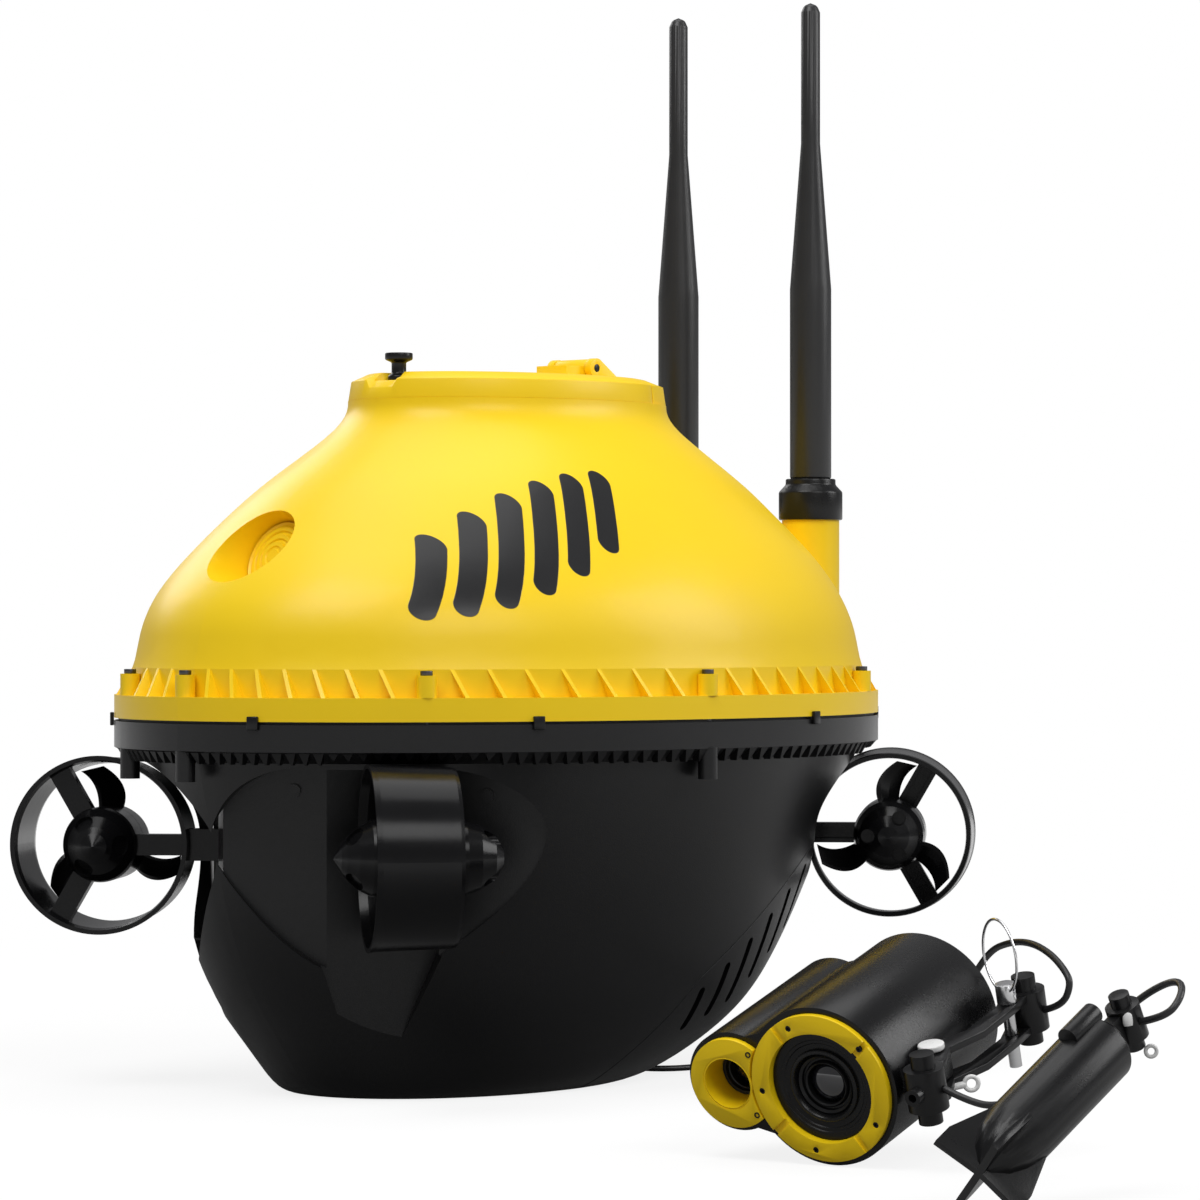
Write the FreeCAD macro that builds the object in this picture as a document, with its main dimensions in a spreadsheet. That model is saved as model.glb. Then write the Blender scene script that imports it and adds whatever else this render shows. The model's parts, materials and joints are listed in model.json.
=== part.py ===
# Surface inspection boat with a winch-lowered underwater camera and a finned sinker.
# Millimetres, +Z up, +X towards the bow, +Y to port, origin in the flat base of the hull.
import FreeCAD, Part
import math
import os
import Sketcher

from FreeCAD import Placement, Rotation, Vector

doc = FreeCAD.newDocument("inspection_boat")
sheet = doc.addObject("Spreadsheet::Sheet", "Sizes")

DIMENSIONS = {
    # Hull form
    "half_length": 160.0,
    "half_width": 113.0,
    "wall": 3.0,
    "seam_height": 131.0,
    "band_drop": 9.7,
    "band_rise": 8.5,
    "rim_height": 243.6,
    "gasket_thick": 1.0,
    "gasket_width": 4.0,
    "flange_width": 9.0,
    # Thruster recesses
    "channel_floor": 93.0,
    "recess_step": 5.0,
    "slot_width": 3.6,
    "rib_thick": 1.3,
    "screw_boss_radius": 3.4,
    "screw_radius": 1.5,
    "stud_radius": 2.2,
    "scoop_x": 112.0,
    "scoop_z": 186.0,
    "scoop_radius": 14.0,
    # Deck hatch and its latch
    "hatch_length": 61.0,
    "hatch_width": 43.0,
    "hatch_thick": 9.4,
    "hatch_chamfer": 5.5,
    "hinge_x": -36.0,
    "hinge_rise": 4.6,
    "hinge_pin_radius": 1.5,
    "ear_gap": 16.0,
    "ear_thick": 3.0,
    "knob_x": 55.0,
    "ear_radius": 3.6,
    "lid_gap": 0.6,
    "latch_radius": 1.8,
    "latch_drop": 2.6,
    "knob_radius": 4.9,
    "knob_neck_radius": 2.6,
    # Antennas
    "antenna_x": -130.0,
    "antenna_y": 33.5,
    "boss_radius": 10.8,
    "boss_top": 203.0,
    "collar_radius": 12.0,
    "collar_height": 15.5,
    "antenna_radius": 7.8,
    "antenna_tip_radius": 3.6,
    "antenna_taper_start": 290.0,
    "antenna_taper_end": 345.0,
    "antenna_top": 398.0,
    # Thrusters
    "thruster_x": 125.0,
    "thruster_y": 76.4,
    "thruster_z": 86.5,
    "thruster_turn": 38.0,
    "duct_length": 29.0,
    "duct_radius_front": 31.4,
    "duct_radius_rear": 29.8,
    "duct_wall": 1.6,
    "hub_radius": 13.2,
    "pod_wall": 1.6,
    "nose_length": 15.0,
    "dome_length": 17.0,
    "strut_width": 7.4,
    "strut_depth": 6.0,
    "strut_wall": 1.5,
    "shaft_radius": 1.5,
    "running_gap": 0.05,
    "propeller_gap": 0.5,
    "motor_radius": 10.5,
    # Winch
    "drum_radius": 14.0,
    "drum_flange_radius": 24.0,
    "drum_length": 34.0,
    "drum_z": 70.0,
    "winch_x": 18.0,
    "spindle_radius": 3.0,
    "frame_thick": 3.0,
    "winch_motor_radius": 12.0,
    "flange_thick": 2.0,
    # Battery and board
    "battery_length": 82.0,
    "battery_width": 46.0,
    "battery_height": 58.0,
    "tray_z": 104.0,
    "tray_thick": 2.5,
    # Camera unit
    "barrel_radius": 25.5,
    "barrel_length": 67.0,
    "lobe_radius": 16.0,
    "lobe_offset": 31.0,
    "barrel_wall": 2.5,
    "bezel_radius": 23.6,
    "bezel_bore": 17.6,
    "bezel_thick": 2.0,
    "lens_radius": 11.0,
    "light_bore": 8.6,
    "camera_x": 139.2,
    "camera_y": 267.5,
    # Bracket
    "arm_thick": 2.4,
    "arm_gap": 6.0,
    "block_radius": 6.2,
    "block_height": 13.0,
    "pin_radius": 2.0,
    "pull_ring_radius": 12.0,
    # Sinker
    "sinker_radius": 10.5,
    "sinker_length": 66.0,
    "fin_span": 15.0,
    "fin_thick": 2.2,
    "fin_length": 22.0,
    "sinker_x": 191.6,
    "sinker_y": 370.0,
    # Cords
    "tether_radius": 1.1,
    "line_radius": 1.1,
    "cord_clearance": 0.05,
    "gland_radius": 2.0,
    "gland_length": 14.0,
}

for row, (alias, number) in enumerate(DIMENSIONS.items(), start=1):
    cell = "A%d" % row
    sheet.set(cell, str(number))
    sheet.setAlias(cell, alias)
doc.recompute()


class Size:
    """A number with the sheet expression that gives it."""

    def __init__(self, value, text):
        self.value = value
        self.text = text

    @staticmethod
    def wrap(other):
        if isinstance(other, Size):
            return other
        return Size(float(other), repr(float(other)))

    def __add__(self, other):
        other = Size.wrap(other)
        return Size(self.value + other.value, "(%s + %s)" % (self.text, other.text))

    def __sub__(self, other):
        other = Size.wrap(other)
        return Size(self.value - other.value, "(%s - %s)" % (self.text, other.text))

    def __mul__(self, other):
        other = Size.wrap(other)
        return Size(self.value * other.value, "(%s * %s)" % (self.text, other.text))

    def __truediv__(self, other):
        other = Size.wrap(other)
        return Size(self.value / other.value, "(%s / %s)" % (self.text, other.text))

    def __radd__(self, other):
        return Size.wrap(other) + self

    def __rsub__(self, other):
        return Size.wrap(other) - self

    def __rmul__(self, other):
        return Size.wrap(other) * self

    def __neg__(self):
        return Size(-self.value, "(-%s)" % self.text)

    def __float__(self):
        return self.value


class Named:
    """Gives each named dimension as a Size."""

    def __getattr__(self, alias):
        return Size(DIMENSIONS[alias], "Sizes." + alias)


S = Named()
parts = {}


def keep(node, thing):
    """Label a finished sub-part with its node name."""
    thing.Label = node
    parts[node] = thing
    return thing


def origin_plane(body, role):
    """The body's own origin plane with this role."""
    return [item for item in body.Origin.OriginFeatures if item.Role == role][0]


def outline(body, role, points):
    """A closed straight-sided sketch with every corner bound to the sheet."""
    sketch = body.newObject("Sketcher::SketchObject", body.Name + "_outline")
    sketch.AttachmentSupport = (origin_plane(body, role), [""])
    sketch.MapMode = "FlatFace"
    corners = [(Size.wrap(u), Size.wrap(v)) for u, v in points]
    total = len(corners)
    for index in range(total):
        start = corners[index]
        end = corners[(index + 1) % total]
        line = Part.LineSegment(Vector(start[0].value, start[1].value, 0), Vector(end[0].value, end[1].value, 0))
        sketch.addGeometry(line, False)
    for index in range(total):
        sketch.addConstraint(Sketcher.Constraint("Coincident", index, 2, (index + 1) % total, 1))
    for index, corner in enumerate(corners):
        for kind, size in zip(("DistanceX", "DistanceY"), corner):
            number = sketch.addConstraint(Sketcher.Constraint(kind, -1, 1, index, 1, size.value))
            if "Sizes" in size.text:
                sketch.setExpression("Constraints[%d]" % number, size.text)
    sketch.Visibility = False
    return sketch


def turned(name, points, at=None):
    """A body of revolution about its own Z axis from (radius, height) corners."""
    body = doc.addObject("PartDesign::Body", name)
    sketch = outline(body, "XZ_Plane", points)
    turn = body.newObject("PartDesign::Revolution", name + "_turn")
    turn.Profile = sketch
    turn.ReferenceAxis = (sketch, ["V_Axis"])
    turn.Angle = 360.0
    body.Tip = turn
    body.Placement = at or Placement()
    return body


def set_bound(thing, prop, size):
    """Set a property and bind it to the sheet."""
    size = Size.wrap(size)
    setattr(thing, prop, size.value)
    if "Sizes" in size.text:
        thing.setExpression(prop, size.text)


def rod(name, radius, height, at=None):
    """A cylinder along its own Z axis."""
    thing = doc.addObject("Part::Cylinder", name)
    set_bound(thing, "Radius", radius)
    set_bound(thing, "Height", height)
    thing.Placement = at or Placement()
    return thing


def block(name, length, width, height, at=None):
    """A box from its own corner."""
    thing = doc.addObject("Part::Box", name)
    set_bound(thing, "Length", length)
    set_bound(thing, "Width", width)
    set_bound(thing, "Height", height)
    thing.Placement = at or Placement()
    return thing


def without(name, base, tool):
    """The base with the tool cut away."""
    thing = doc.addObject("Part::Cut", name)
    thing.Base = base
    thing.Tool = tool
    return thing


def place(x=0, y=0, z=0, rotation=None):
    """A placement from plain numbers or sizes."""
    return Placement(Vector(float(x), float(y), float(z)), rotation or Rotation())


UP = Vector(0, 0, 1)
ALONG_X = Rotation(Vector(0, 1, 0), 90)
ALONG_Y = Rotation(Vector(1, 0, 0), -90)

# Hull stations: height, share of the half length and half width, bow offset
LOWER_STATIONS = [
    (0.0, 0.42, 27.0),
    (4.0, 0.50, 21.0),
    (14.0, 0.590, 14.0),
    (26.0, 0.672, 10.0),
    (40.0, 0.738, 8.5),
    (58.0, 0.797, 7.0),
    (82.0, 0.858, 4.5),
    (102.0, 0.905, 2.0),
    (117.3, 0.940, 0.0),
]
UPPER_STATIONS = [
    (149.0, 0.955, 0.0),
    (160.0, 0.937, 0.0),
    (172.0, 0.905, 0.0),
    (182.0, 0.858, -0.5),
    (192.0, 0.796, -1.0),
    (202.0, 0.724, -1.0),
    (212.5, 0.643, -1.5),
    (222.6, 0.552, -2.0),
    (230.5, 0.480, -2.0),
    (236.5, 0.436, -1.5),
    (243.6, 0.418, -1.0),
]


def oval(name, length, width, height, forward=0.0):
    """An elliptical section at a height."""
    ring = doc.addObject("Part::Ellipse", name)
    set_bound(ring, "MajorRadius", length)
    set_bound(ring, "MinorRadius", width)
    ring.Placement = place(forward, 0, height)
    return ring


def lofted(name, sections, ruled=False):
    """A solid through the sections."""
    loft = doc.addObject("Part::Loft", name)
    loft.Sections = sections
    loft.Solid = True
    loft.Ruled = ruled
    return loft


def hull_form(name, stations, inset, floor=None):
    """The smooth hull form through the stations, set in by a distance."""
    sections = []
    for index, (height, share, forward) in enumerate(stations):
        lift = floor if (floor is not None and index == 0) else height
        length = S.half_length * share - inset
        width = S.half_width * share - inset
        sections.append(oval("%s_%d" % (name, index), length, width, lift, forward))
    return lofted(name, sections)


def oval_prism(name, inset, low, high):
    """An upright elliptical slab of the flange outline, set in by a distance."""
    sections = [oval(name + "_low", S.half_length - inset, S.half_width - inset, low)]
    sections.append(oval(name + "_high", S.half_length - inset, S.half_width - inset, high))
    return lofted(name, sections, True)


def ruled_ring(name, low, low_share, high, high_share):
    """A straight-sided slab between two shares of the flange outline."""
    sections = [oval(name + "_low", S.half_length * low_share, S.half_width * low_share, low)]
    sections.append(oval(name + "_high", S.half_length * high_share, S.half_width * high_share, high))
    return lofted(name, sections, True)


SEAM = DIMENSIONS["seam_height"]
BAND_LOW = SEAM - DIMENSIONS["band_drop"]
BAND_HIGH = SEAM + DIMENSIONS["band_rise"]
LOWER_TOP = LOWER_STATIONS[-1][0]
UPPER_FOOT = UPPER_STATIONS[0][0]
RIM = DIMENSIONS["rim_height"]

THRUSTERS = {
    "bow_port": (1, 1),
    "bow_starboard": (1, -1),
    "stern_port": (-1, 1),
    "stern_starboard": (-1, -1),
}


def thruster_frame(fore, side):
    """Local Z along the thruster towards its nose, local X outwards from the hull."""
    turn = math.radians(DIMENSIONS["thruster_turn"])
    nose = Vector(fore * math.cos(turn), -side * math.sin(turn), 0)
    outward = Vector(fore * math.sin(turn), side * math.cos(turn), 0)
    rotation = Rotation(outward, nose.cross(outward), nose, "ZXY")
    base = Vector(fore * DIMENSIONS["thruster_x"], side * DIMENSIONS["thruster_y"], DIMENSIONS["thruster_z"])
    return Placement(base, rotation), nose, outward


# Recess outlines seen square on: along the thruster axis and up, centred on the thruster
BOW_RECESS = [(-62.0, 10.0), (-50.0, 24.0), (-25.0, 30.5), (12.0, 30.0), (38.0, 23.5), (51.0, 10.0),
              (44.0, -10.0), (27.0, -26.0), (4.0, -40.0), (-16.0, -42.0), (-36.0, -32.0), (-53.0, -15.0)]
STERN_RECESS = [(-58.0, 10.0), (-48.0, 23.0), (-25.0, 29.5), (12.0, 29.0), (34.0, 23.0), (46.0, 10.0),
                (34.0, -4.0), (14.0, -16.0), (-20.0, -19.0), (-46.0, -8.0)]
BOW_CHANNEL = [(-26.0, 28.0), (14.0, 28.0), (14.0, -35.0), (1.0, -66.0), (-16.0, -66.0), (-26.0, -38.0)]
STERN_CHANNEL = [(-24.0, 27.0), (14.0, 27.0), (14.0, -19.0), (-24.0, -19.0)]
STUD_SPOTS = [(-35.0, 21.0), (31.0, 19.5)]
RECESS_SWING = 12.0
REACH = 60.0


def recess_spot(u, v, floor, fore, side, swing):
    """A point on a recess floor, with the direction square to that floor."""
    frame, nose, outward = thruster_frame(fore, side)
    angle = math.radians(swing)
    away = outward * math.cos(angle) + nose * math.sin(angle)
    along = nose * math.cos(angle) - outward * math.sin(angle)
    centre = nose * frame.Base.dot(nose) + outward * floor + UP * frame.Base.z
    return centre - along * u + UP * v, away


def recess_prism(points, floor, fore, side, smooth, grow, swing):
    """A prism that reaches out from a flat floor, square to the swung outward direction."""
    corners = []
    for u, v in points:
        share = 1.0 + grow / math.hypot(u, v)
        corner, away = recess_spot(u * share, v * share, floor, fore, side, swing)
        corners.append(corner)
    if smooth:
        curve = Part.BSplineCurve()
        curve.interpolate(corners, PeriodicFlag=True)
        wire = Part.Wire([curve.toShape()])
    else:
        wire = Part.makePolygon(corners + [corners[0]])
    return Part.Face(wire).extrude(away * REACH)


def solid(name, shape, at=None):
    """A document feature that holds a shape made with Part's own functions."""
    thing = doc.addObject("Part::Feature", name)
    thing.Shape = shape
    if at:
        thing.Placement = at
    return thing


# Hull forms
floor = DIMENSIONS["channel_floor"]
wall = DIMENSIONS["wall"]
lower_skin = hull_form("lower_skin", LOWER_STATIONS, 0.0)
lower_cavity = hull_form("lower_cavity", LOWER_STATIONS[::2], S.wall, wall)
lower_cone = ruled_ring("lower_cone", LOWER_TOP, LOWER_STATIONS[-1][1], BAND_LOW, 1.0)
lower_band = oval_prism("lower_band", 0.0, BAND_LOW, SEAM - DIMENSIONS["gasket_thick"] / 2)
lower_mouth = oval_prism("lower_mouth", S.flange_width + 2.0, LOWER_TOP - 0.5, SEAM + 1.0)
doc.recompute()

voids = []
keeps = []
for fore, side in THRUSTERS.values():
    recess = BOW_RECESS if fore > 0 else STERN_RECESS
    channel = BOW_CHANNEL if fore > 0 else STERN_CHANNEL
    face = floor + DIMENSIONS["recess_step"]
    voids.append(recess_prism(recess, face, fore, side, True, 0.0, RECESS_SWING))
    voids.append(recess_prism(channel, floor, fore, side, False, 0.0, 0.0))
    keeps.append(recess_prism(recess, face - wall, fore, side, True, wall, RECESS_SWING))
    keeps.append(recess_prism(channel, floor - wall, fore, side, False, wall, 0.0))
lower_wall = lower_skin.Shape.cut(voids).cut(lower_cavity.Shape.cut(keeps))
lower_ring = lower_cone.Shape.fuse(lower_band.Shape).cut(lower_mouth.Shape)

# Tether outlet: a bush in a thick pad at the edge of the base, with an open groove in front of it
gland_radius = DIMENSIONS["gland_radius"]
gland_length = DIMENSIONS["gland_length"]
gland_at = Vector(-37.0, 21.8, gland_radius + 0.3)
gland_way = Vector(-0.86, 0.51, 0).normalize()
gland_heading = Rotation(UP, math.degrees(math.atan2(gland_way.y, gland_way.x)))
pad = Part.makeBox(gland_length + 3.0, 3.6 * gland_radius, 3.5 * gland_radius,
                   Vector(3.0 - gland_length, -1.8 * gland_radius, 0))
pad.Placement = Placement(Vector(gland_at.x, gland_at.y, 0), gland_heading)
gland_hole = Part.makeCylinder(gland_radius, gland_length, gland_at - gland_way * gland_length, gland_way)
groove_radius = gland_radius + 0.4
groove = Part.makeCylinder(groove_radius, 24.0, gland_at, gland_way)
groove_foot = Part.makeBox(24.0, 2 * groove_radius, gland_at.z + 1.0, Vector(0, -groove_radius, -1.0 - gland_at.z))
groove_foot.Placement = Placement(gland_at, gland_heading)
hull_whole = lower_wall.fuse([lower_ring, pad.common(lower_skin.Shape)]).cut([gland_hole, groove, groove_foot])

# The seam of the stern cover, seen from the side, and its slanted outlet slots
COVER_SEAM = [(-78.0, 84.0), (-14.0, 40.0), (20.0, -5.0), (-175.0, -5.0), (-175.0, 92.0), (-100.0, 92.0)]
cover_wire = Part.makePolygon([Vector(x, -150, z) for x, z in COVER_SEAM + COVER_SEAM[:1]])
cover_block = Part.Face(cover_wire).extrude(Vector(0, 300, 0))
slots = []
for number in range(6):
    x = -18.0 - 12.0 * number
    top = 40.0 - 0.6875 * (x + 14.0) - 7.0
    low = max(20.0 + 4.2 * number, top - 24.0)
    half = DIMENSIONS["slot_width"] / 2
    reach = 140.0
    slots.append(Part.makeBox(2 * half, 2 * reach, top - low - 2 * half, Vector(x - half, -reach, low + half)))
    slots.append(Part.makeCylinder(half, 2 * reach, Vector(x, -reach, low + half), Vector(0, 1, 0)))
    slots.append(Part.makeCylinder(half, 2 * reach, Vector(x, -reach, top - half), Vector(0, 1, 0)))
keep("lower_hull", solid("lower_hull", hull_whole.cut(cover_block)))
keep("stern_cover", solid("stern_cover", hull_whole.common(cover_block).cut(slots)))

# Upper shell: band, ribbed flange, dome, antenna bosses, bow scoop and hatch opening
gasket_low = SEAM - DIMENSIONS["gasket_thick"] / 2
gasket_high = SEAM + DIMENSIONS["gasket_thick"] / 2
upper_skin = hull_form("upper_skin", UPPER_STATIONS, 0.0)
upper_cavity = hull_form("upper_cavity", UPPER_STATIONS[:-1:2] + [(RIM - wall, 0.425, -1.0)], S.wall)
upper_band = oval_prism("upper_band", 0.0, gasket_high, BAND_HIGH)
upper_foot = ruled_ring("upper_foot", BAND_HIGH, UPPER_STATIONS[0][1], UPPER_FOOT, UPPER_STATIONS[0][1])
upper_slope = ruled_ring("upper_slope", BAND_HIGH, 0.995, UPPER_FOOT, UPPER_STATIONS[0][1])
upper_mouth = oval_prism("upper_mouth", S.flange_width + 2.0, SEAM - 1.0, UPPER_FOOT + 0.5)
hatch_hole = doc.addObject("Part::Ellipse", "hatch_hole")
set_bound(hatch_hole, "MajorRadius", S.hatch_length - 12.0)
set_bound(hatch_hole, "MinorRadius", S.hatch_width - 10.0)
hatch_hole.Placement = place(-1.0, 0, RIM - 8.0)
doc.recompute()
opening = Part.Face(Part.Wire(hatch_hole.Shape.Edges)).extrude(UP * 20.0)

RIBS = 68
SCREW_EVERY = 8
rib_plates = []
for number in range(RIBS):
    if number % SCREW_EVERY == 0:
        continue
    turn = 2.0 * math.pi * number / RIBS
    spot = Vector(DIMENSIONS["half_length"] * math.cos(turn), DIMENSIONS["half_width"] * math.sin(turn), 0)
    normal = Vector(spot.x / DIMENSIONS["half_length"] ** 2, spot.y / DIMENSIONS["half_width"] ** 2, 0).normalize()
    rib = Part.makeBox(24.0, DIMENSIONS["rib_thick"], 22.0, Vector(-12.0, -DIMENSIONS["rib_thick"] / 2, -11.0))
    lean = Rotation(Vector(1, 0, 0), 24.0)
    face_out = Rotation(UP, math.degrees(math.atan2(normal.y, normal.x)))
    rib.Placement = Placement(spot + UP * (BAND_HIGH + 4.5), face_out.multiply(lean))
    rib_plates.append(rib)
slope_only = upper_slope.Shape.cut(upper_foot.Shape)
ribs = slope_only.common(Part.makeCompound(rib_plates))

screw_spots = []
for number in range(0, RIBS, SCREW_EVERY):
    turn = 2.0 * math.pi * number / RIBS
    share = 0.978
    screw_spots.append(Vector(DIMENSIONS["half_length"] * share * math.cos(turn),
                              DIMENSIONS["half_width"] * share * math.sin(turn), 0))
boss_height = UPPER_FOOT - BAND_HIGH - 2.0
screw_bosses = [Part.makeCylinder(DIMENSIONS["screw_boss_radius"], boss_height, spot + UP * BAND_HIGH)
                for spot in screw_spots]
screw_holes = [Part.makeCylinder(DIMENSIONS["screw_radius"], 60.0, spot + UP * (BAND_LOW - 20.0))
               for spot in screw_spots]

antenna_spots = {"port": 1, "starboard": -1}
bosses = []
for hand in antenna_spots.values():
    foot = Vector(DIMENSIONS["antenna_x"], hand * DIMENSIONS["antenna_y"], 150.0)
    bosses.append(Part.makeCylinder(DIMENSIONS["boss_radius"], DIMENSIONS["boss_top"] - 150.0, foot))

# The bow scoop is a sloping round pocket with a stepped disc in its back wall
scoop_axis = Vector(0.92, 0, 0.39).normalize()
scoop_seat = Vector(DIMENSIONS["scoop_x"], 0, DIMENSIONS["scoop_z"])
scoop = Part.makeCone(DIMENSIONS["scoop_radius"], DIMENSIONS["scoop_radius"] * 1.5, 40.0, scoop_seat, scoop_axis)
scoop_cup = Part.makeCone(DIMENSIONS["scoop_radius"] + wall, DIMENSIONS["scoop_radius"] * 1.5 + wall, 43.0,
                          scoop_seat - scoop_axis * wall, scoop_axis)

dome = upper_skin.Shape.fuse(bosses)
cavity = upper_cavity.Shape.cut(scoop_cup)
shell = dome.cut(cavity).cut(scoop).cut(opening)
skirt = upper_band.Shape.fuse([upper_foot.Shape, ribs] + screw_bosses).cut(upper_mouth.Shape)
shell = shell.fuse(skirt).cut(screw_holes)
keep("upper_shell", solid("upper_shell", shell))
hull = parts["lower_hull"]
thruster_spots = [thruster_frame(fore, side)[0].Base for fore, side in THRUSTERS.values()]
clear = DIMENSIONS["duct_radius_front"] + DIMENSIONS["screw_boss_radius"]
post_spots = [spot for spot in screw_spots
              if all(math.hypot(spot.x - at.x, spot.y - at.y) > clear for at in thruster_spots)]
post_low = LOWER_TOP - 6.5
posts = [Part.makeCylinder(DIMENSIONS["screw_boss_radius"], BAND_LOW - post_low + 0.5, spot + UP * post_low)
         for spot in post_spots]
outside = [post.cut(lower_skin.Shape) for post in posts]
studs = []
for hand in (1, -1):
    for u, v in STUD_SPOTS:
        foot, away = recess_spot(u, v, floor + DIMENSIONS["recess_step"] - 0.5, 1, hand, RECESS_SWING)
        studs.append(Part.makeCylinder(DIMENSIONS["stud_radius"], 2.5, foot, away))
hull.Shape = hull.Shape.fuse(outside + studs).cut(screw_holes)

# Gasket between the two shells, with the screws through it
gasket = without("gasket_ring", oval_prism("gasket_out", 1.5, gasket_low, gasket_high),
                 oval_prism("gasket_in", S.gasket_width + 3.0, gasket_low - 1, gasket_high + 1))
doc.recompute()
keep("flange_gasket", solid("flange_gasket", gasket.Shape.cut(screw_holes)))

# Screws from above through the flange, one node for the set
screws = []
for spot in screw_spots:
    shank = Part.makeCylinder(DIMENSIONS["screw_radius"] - 0.05, 22.0, spot + UP * (BAND_HIGH + boss_height - 22.0))
    head = Part.makeCylinder(DIMENSIONS["screw_radius"] + 0.6, 1.6, spot + UP * (BAND_HIGH + boss_height))
    screws.append(shank.fuse(head))
keep("flange_screws", solid("flange_screws", Part.makeCompound(screws)))

# Clips over the seam
clips = []
for number in (3, 11, 20, 28, 37, 45, 54, 62):
    turn = 2.0 * math.pi * number / RIBS
    spot = Vector(DIMENSIONS["half_length"] * math.cos(turn), DIMENSIONS["half_width"] * math.sin(turn), SEAM)
    heading = math.degrees(math.atan2(spot.y / DIMENSIONS["half_width"] ** 2, spot.x / DIMENSIONS["half_length"] ** 2))
    clip = Part.makeBox(1.4, 4.0, 4.6, Vector(0.02, -2.0, -2.3))
    clip.Placement = Placement(spot, Rotation(UP, heading))
    clips.append(clip)
keep("seam_clips", solid("seam_clips", Part.makeCompound(clips)))

# Disc in the scoop, with two raised rings
disc = turned("bow_scoop_disc", [(0, 0), (S.scoop_radius - 0.6, 0), (S.scoop_radius - 0.6, 2.4),
                                 (S.scoop_radius - 4.4, 2.4), (S.scoop_radius - 4.4, 3.4),
                                 (S.scoop_radius - 8.6, 3.4), (S.scoop_radius - 8.6, 4.4), (0, 4.4)],
              Placement(scoop_seat, Rotation(UP, scoop_axis)))
keep("bow_scoop_disc", disc)

# Rear deck with the hinge ears, and the hatch that closes the battery bay
DECK_TOP = RIM + DIMENSIONS["hatch_thick"]
HINGE_X = DIMENSIONS["hinge_x"]
HINGE_Z = DECK_TOP + DIMENSIONS["hinge_rise"]


def deck_slab():
    """The whole lid outline with its chamfered edge, before it is split at the hinge."""
    chamfer = DIMENSIONS["hatch_chamfer"]
    length = S.hatch_length
    width = S.hatch_width
    low = oval("deck_low", length, width, RIM, -1.0)
    mid = oval("deck_mid", length, width, DECK_TOP - chamfer, -1.0)
    top = oval("deck_top", length - chamfer, width - chamfer, DECK_TOP, -1.0)
    doc.recompute()
    sides = [Part.Wire(ring.Shape.Edges) for ring in (low, mid, top)]
    return Part.makeLoft(sides, True, True)


slab = deck_slab()
split = DIMENSIONS["lid_gap"] / 2
rear_half = Part.makeBox(60.0, 140.0, 30.0, Vector(HINGE_X - 60.0 - split, -70.0, RIM - 5.0))
front_half = Part.makeBox(140.0, 140.0, 30.0, Vector(HINGE_X + split, -70.0, RIM - 5.0))
ear_gap = DIMENSIONS["ear_gap"]
ear_thick = DIMENSIONS["ear_thick"]
ear_radius = DIMENSIONS["ear_radius"]
ears = []
for side in (1, -1):
    inner = side * (ear_gap / 2 + ear_thick / 2) - ear_thick / 2
    disc_shape = Part.makeCylinder(ear_radius, ear_thick, Vector(HINGE_X, inner, HINGE_Z), Vector(0, 1, 0))
    web = Part.makePolygon([Vector(HINGE_X - 14.0, inner, DECK_TOP - 0.5), Vector(HINGE_X - split, inner, DECK_TOP - 0.5),
                            Vector(HINGE_X - split, inner, HINGE_Z), Vector(HINGE_X - 2.4, inner, HINGE_Z + 2.7),
                            Vector(HINGE_X - 14.0, inner, DECK_TOP - 0.5)])
    ears.append(disc_shape.fuse(Part.Face(web).extrude(Vector(0, ear_thick, 0))))
hinge_bore = Part.makeCylinder(DIMENSIONS["hinge_pin_radius"] + DIMENSIONS["running_gap"], 60.0,
                               Vector(HINGE_X, -30.0, HINGE_Z), Vector(0, 1, 0))
pin_seat = Part.makeCylinder(DIMENSIONS["hinge_pin_radius"], 60.0, Vector(HINGE_X, -30.0, HINGE_Z), Vector(0, 1, 0))
keep("rear_deck", solid("rear_deck", slab.common(rear_half).fuse(ears).cut(pin_seat)))

knuckle_half = ear_gap / 2 - 0.4
knuckle = Part.makeCylinder(ear_radius - 0.2, 2 * knuckle_half, Vector(HINGE_X, -knuckle_half, HINGE_Z), Vector(0, 1, 0))
tab = Part.makeBox(12.0, 2 * knuckle_half, HINGE_Z - DECK_TOP + 1.4, Vector(HINGE_X + 0.6, -knuckle_half, DECK_TOP - 0.6))
knob_x = DIMENSIONS["knob_x"]
knob_hole = Part.makeCylinder(DIMENSIONS["latch_radius"] + DIMENSIONS["running_gap"], 30.0, Vector(knob_x, 0, RIM - 5.0))
notch = Part.makeCylinder(DIMENSIONS["knob_radius"] + 1.2, 20.0, Vector(knob_x + 2.0, 0, DECK_TOP - 3.0))
hatch_lid = slab.common(front_half).fuse([knuckle, tab]).cut([hinge_bore, knob_hole, notch])
keep("hatch_lid", solid("hatch_lid", hatch_lid))
pin_length = ear_gap + 2 * ear_thick
hinge_pin = rod("hatch_hinge_pin", S.hinge_pin_radius, S.ear_gap + 2.0 * S.ear_thick,
                Placement(Vector(HINGE_X, -pin_length / 2, HINGE_Z), ALONG_Y))
keep("hatch_hinge_pin", hinge_pin)

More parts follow.
